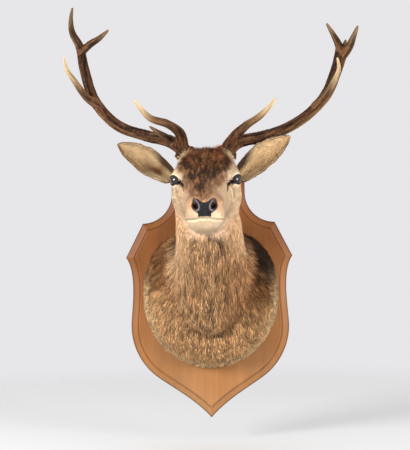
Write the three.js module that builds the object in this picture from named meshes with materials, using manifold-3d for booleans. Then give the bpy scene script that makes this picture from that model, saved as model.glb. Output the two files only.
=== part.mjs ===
// The head and neck of a red deer stag, mounted on a shield-shaped wall board.
// Millimetres, +Z up. The back of the board lies in the plane Y = 0, with the origin at its middle, and
// the stag looks along -Y. "Forward" is the distance in front of that plane, so forward = -Y.
// Left and right are the stag's own: its left is +X.
import * as THREE from 'three';
import { mergeVertices } from 'three/addons/utils/BufferGeometryUtils.js';
import Module from 'manifold-3d';

const wasm = await Module();
wasm.setup();

// ---------------------------------------------------------------- driving dimensions

const GAP = 0.35; // between pieces that touch

const BOARD = {
  thickness: 24,
  moulding: 20, // width of the sloping edge round the front
  mouldingDepth: 8,
  fieldRise: 2, // the flat field stands above the moulding
  fieldStep: 1.5, // between the moulding and the field
  fieldEdge: 0.5, // the rounding of the field's edge
  tip: [0, -333],
  // Curves up the left side from the tip: each bends towards two points on its way to the third.
  curves: [
    [[46, -281], [105, -251.5], [145, -221]],
    [[182.5, -192], [209.5, -143.5], [209.5, -89]],
    [[209.5, -51], [190, 50], [221, 95]],
  ],
  shoulder: [175, 185],
  hollow: 78, // radius of the concave quarter above the shoulder
  neck: 292,
  crest: [[74, 297.3], [35.5, 310], [0, 330]],
};

// The swelling behind the neck where the skin meets the board: half an oval bowl.
const BOWL = {
  x: 3,
  z: -15,
  halfWidth: 177,
  halfHeight: 183,
  depth: 160,
  depthPerHeight: -0.125,
  power: 2.5, // of its section from the board forwards
  upperPower: 2.6, // of its outline on the board above its middle, fuller than an oval
  lowerPower: 2, // and below it
  blend: 44, // how softly the neck runs into it
  creaseBlend: 12, // and how sharply at the crease below
  creaseSpread: 8, // the power by which the crease fades out to the sides
};

// The body is drawn over rings. Each ring has a centre on the line of the neck and head, leans back by
// some degrees, and reaches up, down and sideways. square is the power of its oval, and ridge and keel are
// the shares by which it narrows towards its top and bottom.
const MEASURES = ['forward', 'height', 'side', 'lean', 'up', 'down', 'half', 'square', 'ridge', 'keel'];
const RINGS = Object.entries({
  board: [24.35, -15, 3, 0, 178, 100, 90, 2, 0, 0],
  rim: [60, 0, 3, 9, 176, 108, 92, 2, 0, 0],
  shoulder: [100, 30, 4, 19, 163, 122, 94, 2, 0, 0.05],
  brisket: [125, 52, 5, 26, 154, 168, 94, 2, 0, 0.1],
  'low neck': [160, 88, 6, 36, 140, 160, 90, 2, 0, 0.1],
  middle: [205, 134, 5, 45, 125, 144, 84, 2, 0, 0.08],
  'high neck': [262, 192, 1.5, 42, 100, 136, 78.5, 2.05, 0, 0.08],
  throat: [318, 240, 0, 30, 90, 121, 78, 2.1, 0, 0.12],
  poll: [362, 266, 1, 12, 82, 111, 81.5, 2.2, 0, 0.25],
  crown: [395, 264, 2, -2, 97, 104, 82.5, 2.3, 0.04, 0.38],
  eyes: [427, 257, 1, -13.3, 82, 93, 68, 2.3, 0.1, 0.48],
  cheeks: [476, 245.5, 0, -13.3, 66, 82, 58, 2.2, 0.3, 0.2],
  bridge: [525, 234, 0, -13.3, 55, 71, 49, 2.2, 0.35, -0.05],
  lips: [574, 222.5, 0, -13.3, 42, 62, 44, 2.5, 0.28, 0],
  nostrils: [598, 216.5, 0, -13.3, 37, 57, 44, 2.6, 0.14, 0.1],
  nose: [630, 209, 0, -13.3, 32, 53, 43, 2.6, 0.08, 0.14],
}).map(([at, row]) => ({ at, ...Object.fromEntries(MEASURES.map((measure, i) => [measure, row[i]])) }));
// Where the body's rings are drawn: from one of RINGS to another, in so many steps.
const RING_STEPS = [
  ['board', 'shoulder', 5],
  ['shoulder', 'low neck', 8],
  ['low neck', 'throat', 6],
  ['throat', 'eyes', 7],
  ['eyes', 'nostrils', 10],
];
const BODY_SIDES = 36;
const BOARD_CURVE_STEPS = 5;
const MUZZLE_END = { steps: 6, upperFrom: 38, lowerFrom: 58, upperPower: 2.8, lowerPower: 2.3 };

// The head's own frame: its origin lies midway between the eyes, "ahead" runs along the face, and "above"
// at right angles to it. The face points down by HEAD.pitch.
const HEAD = { forward: 430, height: 285, pitch: THREE.MathUtils.degToRad(6.5) };

// Swellings and hollows of the head, on both sides alike.
const FORMS = [
  { at: 'eye socket', x: 82, ahead: -26, above: 6, size: 23, rise: 15 },
  { at: 'eye opening', x: 72, ahead: 3, above: -1, size: 14, rise: -7 },
  { at: 'brow', x: 50, ahead: -8, above: 50, size: 22, rise: 5 },
  { at: 'temple', x: 80, ahead: -62, above: 28, size: 24, rise: -5 },
  { at: 'jaw muscle', x: 66, ahead: -26, above: -70, size: 36, rise: 6 },
  { at: 'cheekbone', x: 66, ahead: 22, above: -26, size: 18, rise: 5 },
  { at: 'tear pit', x: 52, ahead: 40, above: 4, size: 11, rise: -4 },
  { at: 'nostril wing', x: 36, ahead: 182, above: -36, size: 14, rise: 4 },
  { at: 'upper lip', x: 38, ahead: 168, above: -68, size: 16, rise: 3 },
];
const PEDICLE = { x: 48, ahead: -54, above: 64, size: 22, rise: 15 };

const EYE = { x: 66, ahead: -13, above: -1, radius: 17.5 };
// The mouth in side view, as places ahead and above: from in front of the lips to their corner, and from
// there behind the chin.
const MOUTH = { line: [[224, -67.5], [122, -80], [62, -150]], cut: 0.5, width: 200 };
// The nose pad from ahead: curves up its left side, from its foot to the dip in its top.
const NOSE = {
  foot: [12, -65],
  curves: [
    [[14, -49], [31, -50], [31, -38]],
    [[31, -29], [28, -23], [20, -23]],
    [[12, -23], [8, -33], [0, -33]],
  ],
  from: 187, // its depth, as places ahead
  to: 222,
};
const NOSTRIL = { x: 22, ahead: 199, above: -42, half: [7.5, 15, 9.5], turn: 35 };

// Ears: root and tip of the middle rib, and their breadth. Forward and height are in the mount's frame.
const EARS = {
  right: { root: [-72, 350, 291], bend: [-142, 318, 344], tip: [-218, 290, 381] },
  left: { root: [70, 350, 289], bend: [134, 322, 350], tip: [208, 296, 393] },
};
const EAR = {
  halfBreadth: 32,
  thickness: 7, // at the root
  edge: 3, // at the tip
  cup: 34,
  // Shares of the rib's length, and its breadth and cup there as shares of the largest.
  shares: [0, 0.25, 0.5, 0.75, 0.92, 1],
  breadths: [0.62, 0.9, 1, 0.74, 0.36, 0],
  cups: [1.1, 0.85, 0.5, 0.24, 0.08, 0],
  rings: 12,
  sides: 14,
};

// Antlers: each branch is a tube through [x, forward, height] points, with its radius at both ends and in
// the middle. trez is the third tine, which points forward from the upper beam.
const ANTLERS = {
  right: {
    beam: [
      [-44, 386, 338], [-54, 373, 360], [-84, 352, 381], [-148, 308, 400], [-221, 258, 431],
      [-278, 226, 495], [-304, 208, 574], [-316, 199, 633], [-334, 199, 670], [-337, 201, 703],
      [-332, 206, 733],
    ],
    beamRadius: [19, 15, 13.8, 13.4, 13.6, 12.8, 12, 9, 3],
    fork: 0.5,
    tines: {
      brow: {
        path: [
          [-55, 374, 366], [-59, 397, 396], [-88, 436, 418], [-124, 460, 429], [-144, 470, 447],
          [-163, 472, 473],
        ],
        radius: [16, 11.5, 9.6, 7.5, 3],
      },
      bez: {
        path: [[-74, 354, 376], [-92, 377, 389], [-113, 392, 402], [-133, 401, 416]],
        radius: [10, 9, 6.5, 2.5],
      },
      trez: {
        path: [[-265, 232, 479], [-295, 245, 500], [-319, 275, 535], [-337, 300, 565], [-343, 318, 596]],
        radius: [11, 9, 7.8, 5.8, 2.5],
      },
      crown_back: {
        path: [[-313, 203, 618], [-290, 192, 641], [-269, 182, 656], [-244, 170, 680]],
        radius: [10, 9.2, 7, 3],
      },
    },
  },
  left: {
    beam: [
      [45, 386, 338], [56, 373, 359], [83, 354, 378], [138, 308, 392], [201, 256, 416], [257, 236, 452],
      [302, 220, 501], [325, 207, 551], [338, 201, 589], [347, 200, 624],
    ],
    beamRadius: [19, 15, 14.6, 13.8, 13.2, 13, 14.2, 14.2, 17],
    fork: 0.55,
    tines: {
      brow: {
        path: [
          [54, 374, 364], [74, 397, 391], [97, 427, 411], [127, 452, 429], [150, 465, 450],
          [168, 471, 472],
        ],
        radius: [17, 12.5, 9, 7.3, 3],
      },
      trez: {
        path: [[272, 234, 470], [300, 245, 500], [319, 272, 529], [328, 298, 556], [323, 318, 582]],
        radius: [11, 9, 7.5, 5.5, 2.5],
      },
      crown_inner: {
        path: [[344, 201, 604], [336, 196, 630], [322, 186, 660], [308, 178, 686]],
        radius: [11, 9.2, 6.4, 3],
      },
      crown_outer: {
        path: [[348, 202, 602], [362, 208, 620], [373, 217, 645], [384, 226, 672]],
        radius: [12, 10, 7, 3],
      },
      crown_back: {
        path: [[346, 198, 610], [352, 190, 628], [357, 182, 643]],
        radius: [8, 6, 3],
      },
    },
  },
};
const ANTLER_SIDES = 8;
const FORK_GAP = 0.0008; // between the two lengths of a beam, as a share of its length
// The burr, in section: its height over its middle and its radius there, as shares of its own.
const BURR = { radius: 24, height: 15, along: 17, sides: 14 };
const BURR_PROFILE = [[-0.5, 0], [-0.5, 0.8], [-0.15, 1], [0.25, 0.9], [0.5, 0.62], [0.5, 0]];

// ---------------------------------------------------------------- materials

function finish(name, color, roughness) {
  return new THREE.MeshStandardMaterial({ name, color, roughness, metalness: 0 });
}

const WOOD = finish('wood', 0xb0713f, 0.45);
const TAN_FUR = finish('tan fur', 0xa37a50, 0.95);
const FACE_FUR = finish('face fur', 0xb98f68, 0.95);
const PALE_FUR = finish('pale fur', 0xdcc29b, 0.95);
const EAR_FUR = finish('ear fur', 0xc0a078, 0.95);
const ANTLER = finish('antler', 0x6b4a31, 0.6);
const TINE = finish('tine', 0x927058, 0.55);
const NOSE_LEATHER = finish('nose leather', 0x302b2c, 0.35);
const GLASS = finish('eye glass', 0x14110f, 0.05);

// ---------------------------------------------------------------- helpers

// A point from its place across, its distance in front of the wall, and its height.
const point = (x, forward, height) => new THREE.Vector3(x, -forward, height);

// A point from the head's own frame.
function headPoint(x, ahead, above) {
  const cos = Math.cos(HEAD.pitch);
  const sin = Math.sin(HEAD.pitch);
  return point(x, HEAD.forward + ahead * cos + above * sin, HEAD.height - ahead * sin + above * cos);
}

// A smooth curve through the given places and values, for places between the first and the last.
function graph(places, values) {
  const last = places.length - 1;
  const slopes = values.map((value, i) => {
    const low = Math.max(i - 1, 0);
    const high = Math.min(i + 1, last);
    return (values[high] - values[low]) / (places[high] - places[low]);
  });
  return (place) => {
    let i = 0;
    while (i < last - 1 && place > places[i + 1]) i++;
    const width = places[i + 1] - places[i];
    const t = (place - places[i]) / width;
    const near = (1 + 2 * t) * (1 - t) * (1 - t) * values[i] + t * t * (3 - 2 * t) * values[i + 1];
    return near + width * t * (1 - t) * ((1 - t) * slopes[i] - t * slopes[i + 1]);
  };
}

// A closed surface: a sphere whose points are carried to place(along, turn), where along runs from 0 to 1
// between its poles, and turn from 0 to 2 pi round it.
function carried(rings, sides, place) {
  const geometry = new THREE.SphereGeometry(1, sides, rings);
  const position = geometry.attributes.position;
  for (let ring = 0; ring <= rings; ring++) {
    for (let side = 0; side <= sides; side++) {
      const { x, y, z } = place(ring / rings, ((side % sides) / sides) * 2 * Math.PI);
      position.setXYZ(ring * (sides + 1) + side, x, y, z);
    }
  }
  return geometry;
}

// A geometry as a solid whose faces point out.
function solid(geometry) {
  const bare = new THREE.BufferGeometry();
  bare.setAttribute('position', geometry.attributes.position);
  bare.setIndex(geometry.index);
  const merged = mergeVertices(bare, 1e-3);
  const vertProperties = merged.attributes.position.array;
  const triVerts = new Uint32Array(merged.index.array);
  const build = () => new wasm.Manifold(new wasm.Mesh({ numProp: 3, vertProperties, triVerts }));
  const made = build();
  if (made.volume() > 0) return made;
  triVerts.reverse();
  return build();
}

function meshOf(name, body, material) {
  const { vertProperties, triVerts } = body.getMesh();
  const geometry = new THREE.BufferGeometry();
  geometry.setAttribute('position', new THREE.BufferAttribute(vertProperties, 3));
  geometry.setIndex(new THREE.BufferAttribute(triVerts, 1));
  geometry.computeVertexNormals();
  const mesh = new THREE.Mesh(geometry, material);
  mesh.name = name;
  return mesh;
}

// ---------------------------------------------------------------- board

// A closed outline from the points of its left half, going up, and the same mirrored.
function bothSides(half) {
  const mirrored = half.filter((p) => p.x > 0).reverse().map((p) => new THREE.Vector2(-p.x, p.y));
  return [...half, ...mirrored];
}

function boardOutline() {
  const { tip, curves, shoulder, hollow, neck, crest } = BOARD;
  const [shoulderX, shoulderZ] = shoulder;
  const left = new THREE.Path();
  left.moveTo(...tip);
  for (const curve of curves) left.bezierCurveTo(...curve.flat());
  left.lineTo(...shoulder);
  left.absarc(shoulderX, shoulderZ + hollow, hollow, -Math.PI / 2, -Math.PI, true);
  left.lineTo(shoulderX - hollow, neck);
  left.bezierCurveTo(...crest.flat());
  return new THREE.Shape(bothSides(left.getPoints(BOARD_CURVE_STEPS)));
}

// An outline in X and Z, extruded forward from the given distance in front of the wall.
function extruded(outline, from, settings) {
  const geometry = new THREE.ExtrudeGeometry(outline, settings);
  geometry.translate(0, 0, from);
  geometry.rotateX(Math.PI / 2);
  return solid(geometry);
}

function board() {
  const { thickness, moulding, mouldingDepth, fieldRise, fieldStep, fieldEdge } = BOARD;
  const outline = boardOutline();
  const slab = extruded(outline, 0, {
    depth: thickness - fieldRise - mouldingDepth,
    bevelSize: moulding,
    bevelOffset: -moulding,
    bevelThickness: mouldingDepth,
    bevelSegments: 1,
  });
  const field = extruded(outline, thickness / 2, {
    depth: thickness / 2 - fieldEdge,
    bevelSize: fieldEdge,
    bevelOffset: -moulding - fieldStep,
    bevelThickness: fieldEdge,
    bevelSegments: 1,
  });
  const behind = new THREE.BoxGeometry(600, 100, 900).translate(0, 50, 0);
  return slab.add(field).subtract(solid(behind));
}

// ---------------------------------------------------------------- body

// The distance along the line of the neck and head at which each of RINGS stands.
const RING_PLACES = RINGS.reduce((places, ring, i) => {
  if (i === 0) return [0];
  const before = RINGS[i - 1];
  const step = Math.hypot(ring.forward - before.forward, ring.height - before.height);
  return [...places, places[i - 1] + step];
}, []);
const BODY_LENGTH = RING_PLACES[RINGS.length - 1];
const placeOf = (name) => RING_PLACES[RINGS.findIndex((ring) => ring.at === name)];
const along = (measure) => graph(RING_PLACES, RINGS.map((ring) => ring[measure]));
const BODY = Object.fromEntries(MEASURES.map((measure) => [measure, along(measure)]));

// Below 0 inside the bowl on the board, above 0 outside.
function outsideBowl(x, forward, height) {
  const z = height - BOWL.z;
  const power = z > 0 ? BOWL.upperPower : BOWL.lowerPower;
  const shares = [(x - BOWL.x) / BOWL.halfWidth, z / BOWL.halfHeight].map(Math.abs);
  const across = (shares[0] ** power + shares[1] ** power) ** (1 / power);
  const depth = BOWL.depth + BOWL.depthPerHeight * z;
  return across ** BOWL.power + (Math.max(forward, 0) / depth) ** BOWL.power - 1;
}

// How far the bowl reaches from a centre in a direction, or 0 where the centre lies outside it.
function bowlReach(centre, toward) {
  if (outsideBowl(...centre) > 0) return 0;
  let low = 0;
  let high = 400;
  for (let i = 0; i < 24; i++) {
    const middle = (low + high) / 2;
    const [x, forward, height] = centre.map((value, axis) => value + toward[axis] * middle);
    if (outsideBowl(x, forward, height) > 0) high = middle;
    else low = middle;
  }
  return low;
}

// The larger of two numbers, rounded off where they are close.
function smoothMax(a, b, blend) {
  const near = Math.max(blend - Math.abs(a - b), 0) / blend;
  return Math.max(a, b) + (near * near * blend) / 4;
}

// How much of its height or depth a ring keeps near the end of the muzzle.
function closing(place, from, power) {
  const t = Math.max(place - (BODY_LENGTH - from), 0) / from;
  return Math.max(1 - t ** power, 0) ** (1 / power);
}

// A point of the coat's surface: place along the neck and head, turn round it from the left side upwards.
function bodyPoint(place, turn, grown = 0) {
  const lean = THREE.MathUtils.degToRad(BODY.lean(place));
  const centre = [BODY.side(place), BODY.forward(place), BODY.height(place)];
  const cos = Math.cos(turn);
  const sin = Math.sin(turn);
  const rising = sin >= 0;
  const upperShare = closing(place, MUZZLE_END.upperFrom, MUZZLE_END.upperPower);
  const lowerShare = closing(place, MUZZLE_END.lowerFrom, MUZZLE_END.lowerPower);
  const tall = rising ? BODY.up(place) * upperShare : BODY.down(place) * lowerShare;
  const half = BODY.half(place) * upperShare;
  if (tall < 1e-6) return point(...centre);
  const power = BODY.square(place);
  const reach = (Math.abs(cos / half) ** power + Math.abs(sin / tall) ** power) ** (-1 / power);
  const level = (reach * sin) / tall;
  const narrowing = 1 - (rising ? BODY.ridge(place) : BODY.keel(place)) * level * level;
  const across = reach * cos * narrowing;
  const upwards = reach * sin;
  const column = Math.hypot(across, upwards);
  const toward = [
    across / column,
    (-upwards / column) * Math.sin(lean),
    (upwards / column) * Math.cos(lean),
  ];
  const downwards = Math.max(-toward[2], 0) ** BOWL.creaseSpread;
  const blend = BOWL.blend + (BOWL.creaseBlend - BOWL.blend) * downwards;
  let length = smoothMax(column, bowlReach(centre, toward), blend);
  const bare = centre.map((value, axis) => value + toward[axis] * length);
  length += rises(...bare) + grown;
  return point(...centre.map((value, axis) => value + toward[axis] * length));
}

// The height of the head's swellings over a point of the body.
function rises(x, forward, height) {
  const place = point(Math.abs(x), forward, height);
  let sum = 0;
  for (const form of FORMS) {
    const distance = place.distanceTo(headPoint(form.x, form.ahead, form.above)) / form.size;
    sum += form.rise * Math.exp(-distance * distance);
  }
  const stub = place.distanceTo(headPoint(PEDICLE.x, PEDICLE.ahead, PEDICLE.above)) / PEDICLE.size;
  return sum + PEDICLE.rise * Math.exp(-(stub ** 4));
}

function bodyPlaces() {
  const places = [0];
  for (const [from, to, steps] of RING_STEPS) {
    for (let step = from === 'board' ? 0 : 1; step <= steps; step++) {
      places.push(placeOf(from) + ((placeOf(to) - placeOf(from)) * step) / steps);
    }
  }
  const start = placeOf('nostrils');
  for (let step = 1; step <= MUZZLE_END.steps; step++) {
    places.push(start + (BODY_LENGTH - start) * Math.sin((step / MUZZLE_END.steps) * (Math.PI / 2)));
  }
  return places;
}

function body(grown = 0) {
  const places = bodyPlaces();
  const rings = places.length - 1;
  return solid(carried(rings, BODY_SIDES, (share, turn) => {
    const ring = Math.round(share * rings);
    if (ring === 0) return point(RINGS[0].side, RINGS[0].forward, RINGS[0].height);
    return bodyPoint(places[ring], turn, grown);
  }));
}

// A thin flat cut across the body at a place along it, leaning as the rings do there.
function crossCut(place) {
  const slab = new THREE.BoxGeometry(500, GAP, 600);
  slab.rotateX(-THREE.MathUtils.degToRad(BODY.lean(place)));
  slab.translate(0, -BODY.forward(place), BODY.height(place));
  return solid(slab);
}

// A thin cut through the mouth to its corner, and from there down behind the chin.
function mouthCut() {
  const { line, cut, width } = MOUTH;
  const upper = line.map(([ahead, above]) => new THREE.Vector2(ahead, above + cut / 2));
  const lower = line.map(([ahead, above]) => new THREE.Vector2(ahead, above - cut / 2)).reverse();
  const outline = new THREE.Shape([...upper, ...lower]);
  const sheet = new THREE.ExtrudeGeometry(outline, { depth: width, bevelEnabled: false });
  sheet.translate(0, 0, -width / 2);
  return solid(intoHead(sheet));
}

// Carries a geometry drawn with x ahead, y above and z across into its place on the head.
function intoHead(geometry) {
  const position = geometry.attributes.position;
  for (let i = 0; i < position.count; i++) {
    const p = headPoint(-position.getZ(i), position.getX(i), position.getY(i));
    position.setXYZ(i, p.x, p.y, p.z);
  }
  return geometry;
}

// The block of the muzzle that the nose pad takes, larger all round by grown.
function noseBlock(grown = 0) {
  const half = new THREE.Path();
  half.moveTo(...NOSE.foot);
  for (const curve of NOSE.curves) half.bezierCurveTo(...curve.flat());
  const outline = bothSides(half.getPoints(3)).map(({ x, y }) => [x, y]);
  const [drawn] = new wasm.CrossSection(outline).offset(grown, 'Miter').toPolygons();
  const shape = new THREE.Shape(drawn.map(([x, y]) => new THREE.Vector2(x, y)));
  const depth = NOSE.to - NOSE.from + grown;
  const block = new THREE.ExtrudeGeometry(shape, { depth, bevelEnabled: false });
  block.rotateY(Math.PI / 2);
  block.translate(NOSE.from - grown, 0, 0);
  return solid(intoHead(block));
}

function nostril(side) {
  const [across, deep, tall] = NOSTRIL.half;
  const pit = new THREE.SphereGeometry(1, 8, 6);
  pit.scale(deep, tall, across);
  pit.rotateY(THREE.MathUtils.degToRad(side * NOSTRIL.turn));
  pit.translate(NOSTRIL.ahead, NOSTRIL.above, -side * NOSTRIL.x);
  return solid(intoHead(pit));
}

function eyeball(side, grown = 0) {
  const ball = new THREE.SphereGeometry(EYE.radius + grown, 14, 9);
  const centre = headPoint(side * EYE.x, EYE.ahead, EYE.above);
  return solid(ball.translate(centre.x, centre.y, centre.z));
}

// ---------------------------------------------------------------- ears

// A leaf-shaped cup, its hollow facing forward: each ring is a crescent across the middle rib.
function ear({ root, bend, tip }, grown = 0) {
  const rib = new THREE.QuadraticBezierCurve3(point(...root), point(...bend), point(...tip));
  const breadth = graph(EAR.shares, EAR.breadths);
  const cup = graph(EAR.shares, EAR.cups);
  return solid(carried(EAR.rings, EAR.sides, (share, turn) => {
    const centre = rib.getPoint(share);
    if (share === 0 || share === 1) return centre;
    const tangent = rib.getTangent(share);
    const facing = new THREE.Vector3(0, -1, -0.15).projectOnPlane(tangent).normalize();
    const across = new THREE.Vector3().crossVectors(tangent, facing);
    const v = Math.cos(turn);
    const thick = EAR.thickness + (EAR.edge - EAR.thickness) * share;
    const wide = (EAR.halfBreadth * breadth(share) + grown) * v;
    const deep = EAR.cup * cup(share) * v * v + (thick / 2 + grown) * Math.sin(turn);
    return centre.addScaledVector(across, wide).addScaledVector(facing, deep);
  }));
}

// ---------------------------------------------------------------- antlers

// A round branch through the points of a path, from one share of its length to another.
function branch(path, radii, { from = 0, to = 1, grown = 0, steps = 12 } = {}) {
  const curve = new THREE.CatmullRomCurve3(path.map((p) => point(...p)));
  const radius = graph(radii.map((_, i) => i / (radii.length - 1)), radii);
  return solid(carried(steps + 2, ANTLER_SIDES, (share, turn) => {
    const ring = Math.round(share * (steps + 2));
    const t = from + (to - from) * Math.min(Math.max((ring - 1) / steps, 0), 1);
    const tangent = curve.getTangentAt(t);
    const aside = new THREE.Vector3(0, 1, 0.3).projectOnPlane(tangent).normalize();
    const other = new THREE.Vector3().crossVectors(tangent, aside);
    const r = ring === 0 || ring === steps + 2 ? 0 : radius(t) + grown;
    const centre = curve.getPointAt(t);
    return centre.addScaledVector(aside, r * Math.cos(turn)).addScaledVector(other, r * Math.sin(turn));
  }));
}

// The rough collar round the foot of an antler.
function burr(path, grown = 0) {
  const curve = new THREE.CatmullRomCurve3(path.map((p) => point(...p)));
  const share = BURR.along / curve.getLength();
  const radius = BURR.radius + grown;
  const height = BURR.height + 2 * grown;
  const profile = BURR_PROFILE.map(([up, out]) => new THREE.Vector2(radius * out, height * up));
  const ring = new THREE.LatheGeometry(profile, BURR.sides);
  const tangent = curve.getTangentAt(share);
  const turned = new THREE.Quaternion().setFromUnitVectors(new THREE.Vector3(0, 1, 0), tangent);
  const centre = curve.getPointAt(share);
  return solid(ring.applyQuaternion(turned).translate(centre.x, centre.y, centre.z));
}

// One antler: its beam in two lengths, parted where the trez tine leaves it, and its tines.
function antler(side, plan, head) {
  const { beam, beamRadius, fork, tines } = plan;
  const lengths = [{ to: fork - FORK_GAP / 2 }, { from: fork + FORK_GAP / 2 }];
  const [lower, upper] = lengths.map((length) => branch(beam, beamRadius, length));
  const room = lengths.map((length) => branch(beam, beamRadius, { ...length, grown: GAP }));
  const group = new THREE.Group();
  group.add(meshOf('beam_lower_' + side, lower.add(burr(beam)).subtract(head), ANTLER));
  group.add(meshOf('beam_upper_' + side, upper, ANTLER));
  let taken = room[0].add(room[1]).add(burr(beam, GAP)).add(head);
  for (const [name, { path, radius }] of Object.entries(tines)) {
    const tine = branch(path, radius, { steps: 7 }).subtract(taken);
    const largest = tine.decompose().sort((a, b) => b.volume() - a.volume())[0];
    group.add(meshOf(name + '_tine_' + side, largest, TINE));
    taken = taken.add(branch(path, radius, { steps: 7, grown: GAP }));
  }
  return group;
}

// ---------------------------------------------------------------- the mount

// The pieces of a cut solid, each under the name whose point it lies nearest.
function named(parted, points) {
  const pieces = parted.decompose().filter((piece) => piece.volume() > 1);
  const middles = pieces.map((piece) => {
    const { min, max } = piece.boundingBox();
    return new THREE.Vector3(...min).add(new THREE.Vector3(...max)).multiplyScalar(0.5);
  });
  return Object.fromEntries(Object.entries(points).map(([name, place]) => {
    const distances = middles.map((middle) => middle.distanceTo(place));
    return [name, pieces[distances.indexOf(Math.min(...distances))]];
  }));
}

const grownBody = body(GAP);
const stag = new THREE.Group();
stag.add(meshOf('board', board(), WOOD));

const nose = body().intersect(noseBlock()).subtract(nostril(1)).subtract(nostril(-1));
stag.add(meshOf('nose', nose, NOSE_LEATHER));

let flesh = body().subtract(noseBlock(GAP));
for (const [side, name] of [[1, 'left'], [-1, 'right']]) {
  stag.add(meshOf('eye_' + name, eyeball(side), GLASS));
  flesh = flesh.subtract(eyeball(side, GAP));
  stag.add(meshOf('ear_' + name, ear(EARS[name]).subtract(grownBody), EAR_FUR));
}
const NECK_CUT = placeOf('throat') + 25;
const SHOULDER_CUT = placeOf('low neck') + 10;
const parted = flesh.subtract(crossCut(NECK_CUT)).subtract(crossCut(SHOULDER_CUT)).subtract(mouthCut());
const pieces = named(parted, {
  shoulders: point(0, 110, 0),
  neck: point(0, 240, 150),
  head: point(0, 480, 255),
  lower_jaw: point(0, 560, 180),
});
stag.add(meshOf('shoulders', pieces.shoulders, TAN_FUR));
stag.add(meshOf('neck', pieces.neck, TAN_FUR));
stag.add(meshOf('head', pieces.head, FACE_FUR));
stag.add(meshOf('lower_jaw', pieces.lower_jaw, PALE_FUR));

for (const side of ['left', 'right']) stag.add(antler(side, ANTLERS[side], grownBody));

export default stag;
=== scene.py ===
"""A red deer stag's head and neck, mounted on a shield-shaped board.

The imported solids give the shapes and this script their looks: one skin over the flesh, the coat as solid
tufts, lids and glass eyes, the nose pad, cupped ears, grooved antlers and a varnished board.

Lengths are in millimetres until a mesh is made. The wall is the plane y = 0, "forward" is -y, and left and
right are the stag's own: its left is +x.
"""

import math

import bmesh
import bpy
import numpy as np
from mathutils import Euler, Matrix, Vector
from mathutils.bvhtree import BVHTree
from mathutils.kdtree import KDTree


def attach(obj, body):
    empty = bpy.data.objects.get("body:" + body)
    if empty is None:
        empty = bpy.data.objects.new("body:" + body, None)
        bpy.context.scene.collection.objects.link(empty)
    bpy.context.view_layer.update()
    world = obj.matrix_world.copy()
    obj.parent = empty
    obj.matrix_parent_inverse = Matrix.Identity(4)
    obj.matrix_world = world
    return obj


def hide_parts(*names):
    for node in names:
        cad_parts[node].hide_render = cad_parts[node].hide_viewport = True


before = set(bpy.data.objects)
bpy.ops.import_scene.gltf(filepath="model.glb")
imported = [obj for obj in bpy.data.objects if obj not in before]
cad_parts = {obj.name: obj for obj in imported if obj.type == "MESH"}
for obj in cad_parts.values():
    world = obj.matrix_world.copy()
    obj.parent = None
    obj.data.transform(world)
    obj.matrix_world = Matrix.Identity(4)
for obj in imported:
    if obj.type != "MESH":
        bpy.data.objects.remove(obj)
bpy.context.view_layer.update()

MM = 0.001
FULL_TURN = 2 * math.pi


# ---------------------------------------------------------------- numbers and colours

def srgb(red, green, blue):
    """A screen colour, 0 to 255, as the linear numbers that a shader takes."""
    c = np.array([red, green, blue]) / 255
    return np.where(c <= 0.04045, c / 12.92, ((c + 0.055) / 1.055) ** 2.4)


def smooth(low, high, value):
    """0 at low, 1 at high, and a soft rise between them."""
    t = np.clip((value - low) / (high - low), 0, 1)
    return t * t * (3 - 2 * t)


def mixed_number(first, second, share):
    """first where share is 0 and second where it is 1."""
    return first + (second - first) * share


def mixed(first, second, share):
    """The same for colours or places, which the last axis holds."""
    return mixed_number(first, second, np.asarray(share)[..., None])


def layered(colour, *layers):
    """A colour with others laid over it in turn, each with how much it covers."""
    for over, cover in layers:
        colour = mixed(colour, over, cover)
    return colour


def even_turns(count):
    """So many turns, evenly round a full circle."""
    return np.arange(count) / count * FULL_TURN


def unit(vectors):
    return vectors / np.maximum(np.linalg.norm(vectors, axis=-1, keepdims=True), 1e-9)


def dot(first, second):
    return (first * second).sum(-1)


def square_to(directions, axis):
    """The directions with what runs along an axis taken out of them, as unit vectors."""
    return unit(directions - dot(directions, axis)[..., None] * axis)


def bump(distance, size):
    """1 at a distance of 0, falling away over size."""
    return np.exp(-((distance / size) ** 2))


def graph(places, values):
    """A smooth curve through the values at the places, the same as the one the solids are drawn with."""
    places, values = np.asarray(places, float), np.asarray(values, float)
    above, below = np.append(values[1:], values[-1]), np.append(values[0], values[:-1])
    after, before = np.append(places[1:], places[-1]), np.append(places[0], places[:-1])
    slopes = (above - below) / (after - before)

    def at(place):
        i = np.clip(np.searchsorted(places, place) - 1, 0, len(places) - 2)
        width = places[i + 1] - places[i]
        t = (place - places[i]) / width
        ends = (1 + 2 * t) * (1 - t) ** 2 * values[i] + t * t * (3 - 2 * t) * values[i + 1]
        return ends + width * t * (1 - t) * ((1 - t) * slopes[i] - t * slopes[i + 1])

    return at


def noise(points, size, seed):
    """Smooth random values from -1 to 1 over space, with lumps of about the given size."""
    points = points / size
    cell = np.floor(points).astype(np.int64)
    t = points - cell
    t = t * t * (3 - 2 * t)
    total = np.zeros(points.shape[:-1])
    for corner in np.ndindex(2, 2, 2):
        x, y, z = np.moveaxis(cell + corner, -1, 0)
        mess = (x * 73856093 ^ y * 19349663 ^ z * 83492791 ^ (seed + 1) * 40503) & 0x7FFFFFFF
        mess = (mess ^ (mess >> 13)) * 1274126177 & 0x7FFFFFFF
        mess ^= mess >> 15
        weight = np.where(corner, t, 1 - t).prod(-1)
        total += weight * ((mess & 0xFFFF) / 0x7FFF - 1)
    return total


def rough_noise(points, size, seed):
    return (noise(points, size, seed) + 0.5 * noise(points, size / 2.1, seed + 1)
            + 0.25 * noise(points, size / 4.3, seed + 2)) / 1.4


# ---------------------------------------------------------------- meshes

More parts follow.
